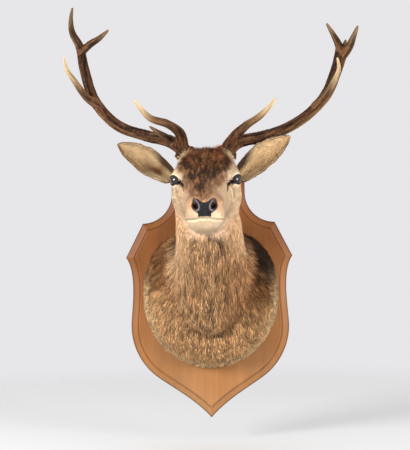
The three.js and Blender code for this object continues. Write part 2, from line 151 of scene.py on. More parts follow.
def grid_faces(rows, columns, ring=False):
    """Faces and their corners' places on the unwrap, for a grid whose columns close on themselves.
    Its two ends are closed with fans round one more point each, or joined where ring is true."""
    r, c = np.meshgrid(np.arange(rows if ring else rows - 1), np.arange(columns), indexing="ij")
    corners = [(0, 0), (0, 1), (1, 1), (1, 0)]
    quads = np.stack([(r + down) % rows * columns + (c + over) % columns for down, over in corners], -1)
    spots = [np.stack([(c + over) / columns, (r + down) / rows], -1) for down, over in corners]
    faces, places = [quads.reshape(-1, 4)], [np.stack(spots, -2).reshape(-1, 2)]
    if ring:
        return faces, places[0]
    turn = np.arange(columns)
    after = (turn + 1) % columns
    last_row = (rows - 1) * columns
    middle = np.full(columns, rows * columns)
    faces.append(np.stack([middle, after, turn], -1))
    faces.append(np.stack([middle + 1, last_row + turn, last_row + after], -1))
    start_corners = ((0.5, 0), (1, 0.5 / rows), (0, 0.5 / rows))
    end_corners = ((0.5, 1), (0, 1 - 1 / rows), (1, 1 - 1 / rows))
    for fan in (start_corners, end_corners):
        spots = [np.stack([(turn + over) / columns, np.full(columns, level)], -1) for over, level in fan]
        places.append(np.stack(spots, -2).reshape(-1, 2))
    return faces, np.concatenate(places)


def closed_points(grid):
    """A grid's points in a list, with the middles of its first and last rows at the end."""
    return np.concatenate([grid.reshape(-1, 3), grid[0].mean(0)[None], grid[-1].mean(0)[None]])


def new_mesh(name, points, faces, places=None):
    """A mesh from points in millimetres, arrays of faces, and their corners' places on the unwrap."""
    corners = np.concatenate([f.ravel() for f in faces]).astype(np.int32)
    sizes = np.concatenate([np.full(len(f), f.shape[1]) for f in faces])
    mesh = bpy.data.meshes.new(name)
    mesh.vertices.add(len(points))
    mesh.vertices.foreach_set("co", (points * MM).astype(np.float32).ravel())
    mesh.loops.add(len(corners))
    mesh.loops.foreach_set("vertex_index", corners)
    mesh.polygons.add(len(sizes))
    mesh.polygons.foreach_set("loop_start", (np.cumsum(sizes) - sizes).astype(np.int32))
    mesh.polygons.foreach_set("use_smooth", np.ones(len(sizes), bool))
    if places is not None:
        unwrap = mesh.uv_layers.new(name="OFBake")
        unwrap.data.foreach_set("uv", places.astype(np.float32).ravel())
    mesh.update(calc_edges=True)
    return mesh


def in_scene(name, data):
    """An object for a mesh, light or camera, linked into the scene."""
    made = bpy.data.objects.new(name, data)
    bpy.context.scene.collection.objects.link(made)
    return made


def new_object(name, mesh, replaced=()):
    """A piece that rides on the mount and stands in for the replaced solids."""
    piece = in_scene(name, mesh)
    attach(piece, "root")
    if replaced:
        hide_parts(*replaced)


def new_piece(name, points, faces, material, colours, places=None, replaced=()):
    """A piece from points, faces and the points' colours, which its material reads as the marking."""
    mesh = new_mesh(name, points, faces, places)
    paint = mesh.color_attributes.new("marking", "FLOAT_COLOR", "POINT")
    rgba = np.concatenate([np.clip(colours, 0, 1), np.ones((len(colours), 1))], 1)
    paint.data.foreach_set("color", rgba.astype(np.float32).ravel())
    mesh.materials.append(material)
    new_object(name, mesh, replaced)


def grid_piece(name, grid, material, colours, replaced):
    """A piece from a closed grid of points and a grid of their colours."""
    faces, places = grid_faces(*grid.shape[:2])
    new_piece(name, closed_points(grid), faces, material, closed_points(colours), places, replaced)


# ---------------------------------------------------------------- materials

def new_material(name, **settings):
    """A material and its Principled shader, with constant settings on the shader's own sockets."""
    material = bpy.data.materials.new(name)
    material.use_nodes = True
    shader = material.node_tree.nodes["Principled BSDF"]
    for socket, value in settings.items():
        shader.inputs[socket.replace("_", " ")].default_value = value
    return material, shader


def plug(owner, node, **outputs):
    """Links other nodes' outputs to a node's named sockets."""
    for socket, output in outputs.items():
        owner.node_tree.links.new(output, node.inputs[socket.replace("_", " ")])


def add_node(owner, kind, settings=None, **inputs):
    """A node of a material or world, its inputs set to values or linked to other nodes' outputs."""
    tree = owner.node_tree
    node = tree.nodes.new("ShaderNode" + kind)
    for key, value in (settings or {}).items():
        setattr(node, key, value)
    for key, value in inputs.items():
        socket = node.inputs[int(key[1:])] if key[0] == "i" and key[1:].isdigit() else node.inputs[key]
        if isinstance(value, bpy.types.NodeSocket):
            tree.links.new(value, socket)
        else:
            socket.default_value = value
    return node


def object_place(material):
    """The place in the piece's own frame, in metres."""
    return add_node(material, "TexCoord").outputs["Object"]


def grain(material, scales, detail, **settings):
    """A noise from 0 to 1 over the piece, finer for larger scales along its three axes."""
    place = add_node(material, "Mapping", Vector=object_place(material), Scale=scales).outputs["Vector"]
    return add_node(material, "TexNoise", Vector=place, Scale=1.0, Detail=detail, **settings).outputs["Fac"]


def ranged(material, value, low, high, to_low, to_high):
    """A value from low to high, moved to the range of to_low to to_high."""
    node = add_node(material, "MapRange", Value=value, i1=low, i2=high, i3=to_low, i4=to_high)
    return node.outputs["Result"]


def multiplied(material, first, second):
    return add_node(material, "Mix", {"data_type": "RGBA", "blend_type": "MULTIPLY"},
                    Factor=1.0, i6=first, i7=second).outputs[2]


def tinted(material, colour, tone, low, high):
    """A colour made darker or lighter by a 0 to 1 tone."""
    level = ranged(material, tone, 0.0, 1.0, low, high)
    grey = add_node(material, "CombineColor", i0=level, i1=level, i2=level).outputs["Color"]
    return multiplied(material, colour, grey)


def raised(material, strength, distance, height):
    """The normals of a surface that a noise lifts."""
    return add_node(material, "Bump", Strength=strength, Distance=distance, Height=height).outputs["Normal"]


def painted_material(name, scales, tones, bump_strength, bump_distance, **settings):
    """A material that takes its colour from the mesh's marking, with a fine grain over it."""
    material, shader = new_material(name, **settings)
    marking = add_node(material, "Attribute", {"attribute_name": "marking"}).outputs["Color"]
    tone = grain(material, scales, 4.0, Roughness=0.6)
    plug(material, shader, Base_Color=tinted(material, marking, tone, *tones),
         Normal=raised(material, bump_strength, bump_distance, tone))
    return material


COAT = painted_material("deer coat", (900, 900, 500), (0.86, 1.14), 0.25, 0.0006,
                        Roughness=0.62, Specular_IOR_Level=0.12)
HIDE = painted_material("deer hide", (1400, 700, 700), (0.8, 1.15), 0.6, 0.0008,
                        Roughness=0.8, Specular_IOR_Level=0.08)
ANTLER = painted_material("antler horn", (420, 420, 160), (0.7, 1.3), 0.4, 0.0006,
                          Roughness=0.6, Specular_IOR_Level=0.06)
NOSE_LEATHER = painted_material("nose leather", (800, 800, 800), (0.8, 1.2), 0.35, 0.0005,
                                Roughness=0.36, Specular_IOR_Level=0.2,
                                Coat_Weight=0.05, Coat_Roughness=0.15)
LID = painted_material("eyelid rim", (1200, 1200, 1200), (0.8, 1.2), 0.4, 0.0004,
                       Roughness=0.4, Specular_IOR_Level=0.2)
EYE_GLASS = painted_material("eye glass", (1500, 1500, 1500), (0.85, 1.1), 0.0, 0.0001,
                             Roughness=0.2, Specular_IOR_Level=0.05,
                             Coat_Weight=1.0, Coat_Roughness=0.03, Coat_IOR=1.5)


# ---------------------------------------------------------------- the body's shape

# Rings along the neck and head. Each has a centre, leans back by some degrees, and reaches up, down and
# sideways. square is the power of its oval; ridge and keel narrow it towards its top and bottom.
RING_MEASURES = ("forward", "height", "side", "lean", "up", "down", "half", "square", "ridge", "keel")
RINGS = {
    "board": (24.35, -15, 3, 0, 178, 100, 90, 2, 0, 0),
    "rim": (60, 0, 3, 9, 176, 108, 92, 2, 0, 0),
    "shoulder": (100, 30, 4, 19, 163, 122, 94, 2, 0, 0.05),
    "brisket": (125, 52, 5, 26, 154, 168, 94, 2, 0, 0.1),
    "low neck": (160, 88, 6, 36, 140, 160, 90, 2, 0, 0.1),
    "middle": (205, 134, 5, 45, 125, 144, 84, 2, 0, 0.08),
    "high neck": (262, 192, 1.5, 42, 100, 136, 78.5, 2.05, 0, 0.08),
    "throat": (318, 240, 0, 30, 90, 121, 78, 2.1, 0, 0.12),
    "poll": (362, 266, 1, 12, 82, 111, 81.5, 2.2, 0, 0.25),
    "crown": (395, 264, 2, -2, 97, 104, 82.5, 2.3, 0.04, 0.38),
    "eyes": (427, 257, 1, -13.3, 82, 93, 68, 2.3, 0.1, 0.48),
    "cheeks": (476, 245.5, 0, -13.3, 66, 82, 58, 2.2, 0.3, 0.2),
    "bridge": (525, 234, 0, -13.3, 55, 71, 49, 2.2, 0.35, -0.05),
    "lips": (574, 222.5, 0, -13.3, 42, 62, 44, 2.5, 0.28, 0),
    "nostrils": (598, 216.5, 0, -13.3, 37, 57, 44, 2.6, 0.14, 0.1),
    "nose": (630, 209, 0, -13.3, 32, 53, 43, 2.6, 0.08, 0.14),
}
RING_TABLE = np.array(list(RINGS.values()), float)
RING_PLACES = np.append(0, np.cumsum(np.hypot(*np.diff(RING_TABLE[:, :2], axis=0).T)))
PLACE_OF = dict(zip(RINGS, RING_PLACES))
BODY_LENGTH = RING_PLACES[-1]
BODY = {measure: graph(RING_PLACES, RING_TABLE[:, i]) for i, measure in enumerate(RING_MEASURES)}

# How the muzzle closes: from how far before its end, and with what power.
MUZZLE_UPPER = (54, 2.3)
MUZZLE_LOWER = (62, 2.2)

# The swelling where the neck meets the board: half a bowl, its outline fuller above its middle than below.
BOWL = dict(x=3, z=-15, half_width=177, half_height=183, depth=160, depth_per_height=-0.125, power=2.5,
            upper_power=2.6, lower_power=2)
BOWL_BLEND = 44  # how softly the neck runs into the bowl
CREASE_BLEND = 12  # and how softly under the neck
CREASE_POWER = 8  # how closely the crease keeps to straight below
BOWL_FARTHEST = 400
BOWL_HALVINGS = 24

# The head's own frame: its origin is midway between the eyes, and "ahead" runs down the face.
HEAD = dict(forward=430, height=285, pitch=math.radians(6.5))
HEAD_ORIGIN = np.array([0, -HEAD["forward"], HEAD["height"]], float)
AHEAD = np.array([0, -math.cos(HEAD["pitch"]), -math.sin(HEAD["pitch"])])
ABOVE = np.array([0, -math.sin(HEAD["pitch"]), math.cos(HEAD["pitch"])])

# Swellings and hollows of the head on both sides: x, ahead, above, size, rise. The solids have these.
FORMS = [
    (82, -26, 6, 23, 15),  # eye socket
    (72, 3, -1, 14, -7),  # eye opening
    (50, -8, 50, 22, 5),  # brow
    (80, -62, 28, 24, -5),  # temple
    (66, -26, -70, 36, 6),  # jaw muscle
    (66, 22, -26, 18, 5),  # cheekbone
    (52, 40, 4, 11, -4),  # tear pit
    (36, 182, -36, 14, 4),  # nostril wing
    (38, 168, -68, 16, 3),  # upper lip
]
PEDICLE = dict(x=48, ahead=-54, above=64, size=22, rise=15)

# Finer folds of the skin, in the same terms.
FOLDS = [
    (74, -10, 27, 7, 2.6),  # upper lid
    (70, 6, 20, 6, -1.4),  # fold over the lid
    (82, -34, 16, 7, -1.6),  # behind the eye
    (76, -2, -25, 9, 1.0),  # under the eye
    (84, -14, -38, 8, -0.6),  # crease under it
    (57, 66, -44, 24, -1.5),  # cheek hollow
    (34, 118, 6, 15, -1.8),  # beside the bridge
    (24, 176, -14, 9, -1.6),  # over the nostril
    (35, 192, -60, 9, 2.2),  # lip pad
    (22, 190, -80, 8, 1.8),  # lower lip
    (0, 178, -98, 13, 3),  # chin
    (0, 150, -101, 9, -2.4),  # behind the chin
    (46, 112, -82, 10, -1.8),  # corner of the mouth
    (60, -64, -96, 13, -3),  # behind the jaw
]


def head_point(x, ahead, above):
    return HEAD_ORIGIN + np.array([x, 0, 0]) + ahead * AHEAD + above * ABOVE


def in_head(points):
    """The distance from the middle plane, and how far ahead and above, in the head's own frame."""
    away = points - HEAD_ORIGIN
    return np.abs(points[..., 0]), away @ AHEAD, away @ ABOVE


def form_rise(points, forms, power=2):
    """The height of mirrored forms over the points."""
    mirrored = np.concatenate([np.abs(points[..., :1]), points[..., 1:]], -1)
    total = np.zeros(points.shape[:-1])
    for x, ahead, above, size, rise in forms:
        distance = np.linalg.norm(mirrored - head_point(x, ahead, above), axis=-1) / size
        total += rise * np.exp(-(distance ** power))
    return total


def bowl_radius(points):
    """How far out from the bowl's middle, seen from the front, as a share of its outline."""
    z = points[..., 2] - BOWL["z"]
    power = np.where(z > 0, BOWL["upper_power"], BOWL["lower_power"])
    wide, tall = np.abs(points[..., 0] - BOWL["x"]) / BOWL["half_width"], np.abs(z) / BOWL["half_height"]
    return (wide ** power + tall ** power) ** (1 / power)


def outside_bowl(points):
    across = bowl_radius(points)
    z = points[..., 2] - BOWL["z"]
    depth = BOWL["depth"] + BOWL["depth_per_height"] * z
    return across ** BOWL["power"] + (np.maximum(-points[..., 1], 0) / depth) ** BOWL["power"] - 1


def bowl_reach(centre, toward):
    """How far the bowl reaches from the centres, or 0 where a centre is outside it."""
    low = np.zeros(centre.shape[:-1])
    high = np.full(centre.shape[:-1], float(BOWL_FARTHEST))
    for _ in range(BOWL_HALVINGS):
        middle = (low + high) / 2
        beyond = outside_bowl(centre + toward * middle[..., None]) > 0
        high = np.where(beyond, middle, high)
        low = np.where(beyond, low, middle)
    return np.where(outside_bowl(centre) > 0, 0, low)


def closing(place, start, power):
    """How much of its height or depth a ring keeps near the end of the muzzle."""
    t = np.maximum(place - (BODY_LENGTH - start), 0) / start
    return np.maximum(1 - t ** power, 1e-6) ** (1 / power)


def body_points(place, turn, depth):
    """Points at a depth under the solids' surface, and how far the neck stands out of the bowl there."""
    measure = {name: at(place) for name, at in BODY.items()}
    lean = np.radians(measure["lean"])
    centre = np.stack([measure["side"], -measure["forward"], measure["height"]], -1)
    cos, sin = np.cos(turn), np.sin(turn)
    upper = closing(place, *MUZZLE_UPPER)
    tall = np.where(sin >= 0, measure["up"] * upper, measure["down"] * closing(place, *MUZZLE_LOWER))
    power = measure["square"]
    reach = (np.abs(cos / (measure["half"] * upper)) ** power + np.abs(sin / tall) ** power) ** (-1 / power)
    narrowing = 1 - np.where(sin >= 0, measure["ridge"], measure["keel"]) * (reach * sin / tall) ** 2
    across = reach * cos * narrowing
    upwards = reach * sin
    column = np.hypot(across, upwards)
    toward = np.stack([across, upwards * np.sin(lean), upwards * np.cos(lean)], -1) / column[..., None]
    bowl = bowl_reach(centre, toward)
    below = np.maximum(-toward[..., 2], 0) ** CREASE_POWER
    blend = BOWL_BLEND - (BOWL_BLEND - CREASE_BLEND) * below
    near = np.maximum(blend - np.abs(column - bowl), 0) / blend
    length = np.maximum(column, bowl) + near * near * blend / 4
    bare = centre + toward * length[..., None]
    stub = (PEDICLE["x"], PEDICLE["ahead"], PEDICLE["above"], PEDICLE["size"], PEDICLE["rise"])
    length += form_rise(bare, FORMS) + form_rise(bare, [stub], 4) - depth
    return centre + toward * length[..., None], column - bowl


LOCK_SQUASH = 0.2  # a step along the coat's lie counts for this share of a step across it


class Surface:
    """A grid of points, closed round its columns, that can be read anywhere between them."""

    def __init__(self, points):
        self.points = points
        self.rows, self.columns = points.shape[:2]
        self.along = np.gradient(points, axis=0)
        self.round = (np.roll(points, -1, 1) - np.roll(points, 1, 1)) / 2
        across = np.cross(self.round, self.along)
        self.area = np.linalg.norm(across, axis=-1)
        self.normals = unit(across)

    def read(self, grid, row, column):
        row = np.clip(row, 0, self.rows - 1.001)
        i = row.astype(int)
        j = np.floor(column).astype(int)
        down, over = row - i, column - j
        if grid.ndim > 2:
            down, over = down[:, None], over[:, None]
        j, k = j % self.columns, (j + 1) % self.columns
        near = grid[i, j] * (1 - over) + grid[i, k] * over
        far = grid[i + 1, j] * (1 - over) + grid[i + 1, k] * over
        return near * (1 - down) + far * down

    def flow(self):
        """Places that are near each other along the coat's lie as well as beside each other."""
        radius = np.linalg.norm(self.round, axis=-1).sum(1)[:, None] / FULL_TURN
        along = np.cumsum(np.linalg.norm(self.along, axis=-1).mean(1))[:, None]
        turn = even_turns(self.columns)[None]
        return np.stack([radius * np.cos(turn), radius * np.sin(turn), LOCK_SQUASH * along + 0 * turn], -1)

    def steps(self, directions):
        """The rows and columns gone through for each millimetre in the given directions."""
        aa, bb, ab = dot(self.along, self.along), dot(self.round, self.round), dot(self.along, self.round)
        a, b = dot(directions, self.along), dot(directions, self.round)
        size = np.maximum(aa * bb - ab * ab, 1e-6)
        return np.stack([(a * bb - b * ab) / size, (b * aa - a * ab) / size], -1)


# ---------------------------------------------------------------- eyes

EYE = dict(x=66, ahead=-13, above=-1, radius=17.5)
GAZE_FORWARD = math.radians(34)  # from straight sideways
GAZE_UP = 0.06
CANTHUS_DROP = math.radians(12)  # the opening's front corner is the lower one
OPENING_HALF_LENGTH = math.radians(60)
OPENING_HALF_HEIGHT = math.radians(36)
OPENING_POWER = 1.7
EYE_FRONT = 2.0  # beyond this angle from the gaze the skin has nothing of the eye's
LID_RISE = 2.0
LID_SLOPE = 0.12
LID_REACH = 25
SOCKET_DEPTH = 1.8  # how far inside the ball's surface the skin lies behind the opening
SOCKET_ANGLES = np.radians([118, 96])  # from the gaze: the skin is not drawn in beyond the first
# The lids' bare edge in section: distance from the opening over the ball, and out from the ball.
LID_EDGE = [(-1.5, 0.1), (-1.2, 1.0), (-0.2, 1.9), (1.0, 2.2), (2.1, 1.7), (2.8, 0.3), (1.5, -1.2),
            (-1.2, -0.8)]
BALL_INSET = 0.3  # the glass lies this much inside the ball's radius
CORNEA = dict(rise=0.9, size=math.radians(34))
PUPIL = dict(half_length=8.4, half_height=5.2, colour=srgb(6, 8, 13))
IRIS_RADIUS = 12.5
IRIS_BROWN = srgb(40, 23, 13)
BALL_DARK = srgb(14, 9, 8)
LID_DARK = srgb(26, 18, 15)


class Eye:
    """One eyeball's centre and directions: out along its gaze, towards its front corner, and up."""

    def __init__(self, side):
        self.name = "left" if side > 0 else "right"
        self.side = side
        self.centre = head_point(side * EYE["x"], EYE["ahead"], EYE["above"])
        sideways = np.array([side, 0, 0])
        level = math.cos(GAZE_FORWARD) * sideways + math.sin(GAZE_FORWARD) * AHEAD
        self.gaze = unit(level + GAZE_UP * ABOVE)
        front = square_to(AHEAD, self.gaze)
        top = np.cross(front, self.gaze) * -side
        self.front = math.cos(CANTHUS_DROP) * front - math.sin(CANTHUS_DROP) * top
        self.top = math.sin(CANTHUS_DROP) * front + math.cos(CANTHUS_DROP) * top

    def opening(self, turn):
        """The angle from the gaze at which the lids' edge lies."""
        wide = np.abs(np.cos(turn)) / OPENING_HALF_LENGTH
        tall = np.abs(np.sin(turn)) / OPENING_HALF_HEIGHT
        return (wide ** OPENING_POWER + tall ** OPENING_POWER) ** (-1 / OPENING_POWER)

    def point(self, angle, turn, radius):
        """A place at an angle from the gaze, turned round it from the front corner upwards."""
        away = np.cos(turn)[..., None] * self.front + np.sin(turn)[..., None] * self.top
        toward = np.cos(angle)[..., None] * self.gaze + np.sin(angle)[..., None] * away
        return self.centre + toward * np.asarray(radius)[..., None]

    def polar(self, points):
        """Distance from the centre, distance round the ball from the lids' edge, and angle from the gaze."""
        away = points - self.centre
        distance = np.linalg.norm(away, axis=-1)
        angle = np.arccos(np.clip(away @ self.gaze / distance, -1, 1))
        turn = np.arctan2(away @ self.top, away @ self.front)
        return distance, (angle - self.opening(turn)) * EYE["radius"], angle

    def fit_lids(self, points):
        """Draws the skin in behind the opening, and over the ball round it."""
        distance, outside, angle = self.polar(points)
        lid = EYE["radius"] + LID_RISE + LID_SLOPE * np.maximum(outside, 0)
        share = smooth(3, LID_REACH, outside)
        wanted = np.where(outside < -0.6, EYE["radius"] - SOCKET_DEPTH, lid * (1 - share) + distance * share)
        front = smooth(*SOCKET_ANGLES, angle) * (distance < 3 * EYE["radius"])
        change = (wanted - distance) * front
        return points + unit(points - self.centre) * change[..., None]

    def build_ball(self):
        """The glass eye: a ball with a raised cornea, a long pupil and a brown iris."""
        rows, columns = 56, 72
        angles = np.linspace(0.01, math.pi - 0.01, rows)
        angle, turn = np.meshgrid(angles, even_turns(columns), indexing="ij")
        cornea = CORNEA["rise"] * bump(angle, CORNEA["size"])
        points = self.point(angle, turn, EYE["radius"] - BALL_INSET + cornea)
        across = EYE["radius"] * np.sin(angle) * np.cos(turn)
        upright = EYE["radius"] * np.sin(angle) * np.sin(turn)
        in_pupil = np.hypot(across / PUPIL["half_length"], upright / PUPIL["half_height"])
        from_middle = np.hypot(across, upright)
        streaks = 0.75 + 0.35 * noise(np.stack([turn * 14, angle * 2, turn * 0], -1), 1, 5)
        colour = layered(
            PUPIL["colour"],
            (IRIS_BROWN * streaks[..., None], smooth(0.85, 1.15, in_pupil)),
            (BALL_DARK, smooth(IRIS_RADIUS - 1, IRIS_RADIUS + 1, from_middle)))
        colour[angle > math.pi / 2] = BALL_DARK
        if self.side < 0:
            points, colour = points[:, ::-1], colour[:, ::-1]
        faces, _ = grid_faces(rows, columns)
        new_piece("eye_glass_" + self.name, closed_points(points), [f[:, ::-1] for f in faces], EYE_GLASS,
                  closed_points(colour), replaced=["eye_" + self.name])

    def build_rim(self):
        """The dark bare edge of the lids, a band that rolls out from the ball over the skin's edge."""
        columns = 96
        turn = even_turns(columns)
        heavy = 1 + 0.35 * np.maximum(np.sin(turn), 0)
        opening = self.opening(turn)
        rows = [self.point(opening + over * heavy / EYE["radius"], turn, EYE["radius"] + out + 0 * turn)
                for over, out in LID_EDGE]
        points = np.stack(rows)
        if self.side > 0:
            points = points[:, ::-1]
        faces, _ = grid_faces(len(LID_EDGE), columns, ring=True)
        points = points.reshape(-1, 3)
        colours = np.broadcast_to(LID_DARK, points.shape)
        new_piece("eye_rim_" + self.name, points, faces, LID, colours)


EYES = [Eye(1), Eye(-1)]

# ---------------------------------------------------------------- nose, mouth and tear slits

NOSE_CENTRE = -43  # above, in the head's frame
NOSE_START = 160  # ahead of this the skin can be under the nose pad
UNDER_NOSE = 16  # how deep the skin lies under the pad
# The pad's outline seen from ahead: degrees up from straight sideways, and the distance from its centre.
NOSE_OUTLINE = [
    (-90, 21.5), (-75, 22.4), (-64, 24.6), (-58, 26), (-51, 22), (-44, 20.6), (-36, 21.4), (-25, 23.6),
    (-12, 26.8), (5, 29.4), (20, 28.8), (34, 29.8), (44, 26), (51, 16.5), (60, 12.6), (70, 11), (90, 10.4),
]
NOSTRIL = dict(x=20.5, above=-40, wide=7.6, tall=9.8)
MOUTH = dict(front=-70, front_ahead=224, corner_ahead=122, corner_above=-80, bow=4.5)
MOUTH_CUT = dict(depth=2.4, size=1.6)
LIPS = dict(away=4.5, rise=1.4, size=3)
# The tear slit, seen from the side: ahead, above, extra half width.
TEAR_SLIT = [(3, -4.5, 2.8), (14, -6, 2.2), (40, -9.5, 1.5), (64, -21, 0.7)]
SLIT_CUT = dict(depth=3.6, size=2.4)


def nose_reach(turn):
    """The nose pad's outline seen from ahead: its distance from the pad's centre in a direction."""
    turn = np.where(turn > math.pi / 2, math.pi - turn, turn)
    turn = np.where(turn < -math.pi / 2, -math.pi - turn, turn)
    degrees, reach = zip(*NOSE_OUTLINE)
    return graph(degrees, reach)(np.degrees(turn))


def nose_inside(points):
    """How far out from the nose pad's centre a point lies, as a share of the pad's reach."""
    x, ahead, above = in_head(points)
    rise = above - NOSE_CENTRE
    share = np.hypot(x, rise) / nose_reach(np.arctan2(rise, x))
    return np.where(ahead > NOSE_START, share, 9)


def mouth_distance(points):
    """How far above the line of the mouth a point lies, and how much of the mouth is there."""
    x, ahead, above = in_head(points)
    slope = (MOUTH["front"] - MOUTH["corner_above"]) / (MOUTH["front_ahead"] - MOUTH["corner_ahead"])
    line = MOUTH["corner_above"] + slope * (ahead - MOUTH["corner_ahead"]) + MOUTH["bow"] * bump(x, 20)
    return above - line, smooth(MOUTH["corner_ahead"] - 4, MOUTH["corner_ahead"] + 12, ahead)


def slit_distance(points):
    """The distance to the tear slit, seen from the side."""
    x, ahead, above = in_head(points)
    flat = np.stack([ahead, above], -1)
    nearest = np.full(points.shape[:-1], 1e9)
    for start, end in zip(TEAR_SLIT, TEAR_SLIT[1:]):
        start, run = np.array(start, float), np.subtract(end, start)
        share = np.clip((flat - start[:2]) @ run[:2] / (run[:2] @ run[:2]), 0, 1)
        away = np.linalg.norm(flat - start[:2] - share[..., None] * run[:2], axis=-1)
        nearest = np.minimum(nearest, np.maximum(away - start[2] - share * run[2], 0))
    return np.where(x > 25, nearest, 1e9)


# ---------------------------------------------------------------- skin

SKIN_COLUMNS = 288
SKIN_SPACING = (4.5, 3.2, 1.55)  # between the rows of the shoulders, the neck and the head
END_ROWS = 22
# How far the coat stands over the skin, at places along the body.
COAT_DEPTH = ([0, 50, 300, 400, 450, 520, 620, BODY_LENGTH], [5, 9, 9, 7, 3.6, 2.2, 1.6, 1.0])


def skin_places():
    """The places of the skin's rows, which lie closer on the head and closest at its end."""
    stops = [0] + [PLACE_OF[ring] for ring in ("low neck", "poll", "nostrils")]
    even = [np.arange(start, end, step) for start, end, step in zip(stops, stops[1:], SKIN_SPACING)]
    end = np.sin(np.linspace(0, 1, END_ROWS) * math.pi / 2)
    return np.concatenate(even + [stops[-1] + (BODY_LENGTH - 0.05 - stops[-1]) * end])


def coat_depth(place, turn):
    depth = np.interp(place, *COAT_DEPTH)
    crown = bump(place - PLACE_OF["crown"], 45) * smooth(0.5, 0.95, np.sin(turn))
    return depth + 3.5 * crown


def sculpted_skin(place, turn):
    """The skin's points with folds, mouth, tear slits and lids, and how far they stand out of the bowl."""
    points, standing = body_points(place, turn, coat_depth(place, turn))
    normals = Surface(points).normals
    rise = form_rise(points, FOLDS)
    over_mouth, mouth = mouth_distance(points)
    lips = LIPS["rise"] * bump(np.abs(over_mouth) - LIPS["away"], LIPS["size"])
    rise += mouth * (lips - MOUTH_CUT["depth"] * bump(over_mouth, MOUTH_CUT["size"]))
    rise -= SLIT_CUT["depth"] * bump(slit_distance(points), SLIT_CUT["size"])
    head = smooth(PLACE_OF["throat"], PLACE_OF["crown"], place)
    rise += 0.35 * head * rough_noise(points, 7, 11) + 1.2 * (1 - head) * rough_noise(points, 26, 12)
    rise -= UNDER_NOSE * smooth(1.0, 0.86, nose_inside(points))
    points = points + normals * rise[..., None]
    for eye in EYES:
        points = eye.fit_lids(points)
    return points, standing


row_places = skin_places()
column_turns = even_turns(SKIN_COLUMNS) - math.pi / 2
skin_place, skin_turn = np.meshgrid(row_places, column_turns, indexing="ij")
skin_points, skin_standing = sculpted_skin(skin_place, skin_turn)


# ---------------------------------------------------------------- markings

CREAM = srgb(248, 210, 172)
LIP_CREAM = srgb(230, 204, 170)
CHIN_CREAM = srgb(250, 216, 180)
MUZZLE_TAN = srgb(190, 146, 108)
EYE_PALE = srgb(248, 224, 190)
CHEEK_TAN = srgb(220, 174, 130)
FOREHEAD = srgb(54, 33, 20)
FOREHEAD_PALE = srgb(176, 121, 76)
CROWN_RUST = srgb(118, 54, 17)
BRIDGE = srgb(146, 102, 68)
BRIDGE_PALE = srgb(222, 176, 134)
DARK_HAIR_AND_SHADOW = srgb(40, 26, 20)
JAW_TAN = srgb(196, 152, 108)
NECK_PALE = srgb(238, 194, 148)
NECK_TAN = srgb(196, 156, 114)
NECK_LOW = srgb(206, 162, 116)
NECK_GREY = srgb(128, 96, 70)
NECK_SHADE = srgb(174, 118, 70)
NECK_DARK = srgb(70, 48, 36)
NAPE = srgb(104, 72, 46)
CREASE_SHADOW = srgb(62, 36, 20)
BOWL_TAN = srgb(206, 162, 114)
BOWL_DARK = srgb(116, 76, 42)
BOWL_DARKEST = srgb(42, 26, 15)
RIM_PALE = srgb(206, 180, 140)
SLIT_DARK = srgb(30, 20, 16)
PEDICLE_CREAM = srgb(240, 204, 160)


# The crease under the neck's end, where a painted shadow lies, and by how much the coat that hangs over it
# is shortened.
CREASE = dict(below=7, size=10, shortened=0.6)
# The dark patches of the face, at heights: half the width of the bridge's and of the forehead's, and the
# middle of both.
BRIDGE_WIDTH = ([232, 243, 256, 271, 295, 400], [16, 25, 37, 50, 60, 68])
FOREHEAD_WIDTH = ([236, 250, 271, 290, 308, 330, 400], [-4, 7, 17, 33, 50, 58, 64])
PATCH_MIDDLE = ([240, 262, 292, 315], [-7, -9, -7, 0])


def chin_fold_shadow(points):
    """How much a point lies in the painted shadow of the fold under the chin, which falls towards its left.
    """
    left, height = points[..., 0], points[..., 2]
    long = bump(height - 161 + 0.3 * (left - 4), 6) * smooth(-8, 6, left) * smooth(44, 30, left)
    return np.maximum(long, 0.6 * bump(height - 157, 5) * bump(left + 22, 10))


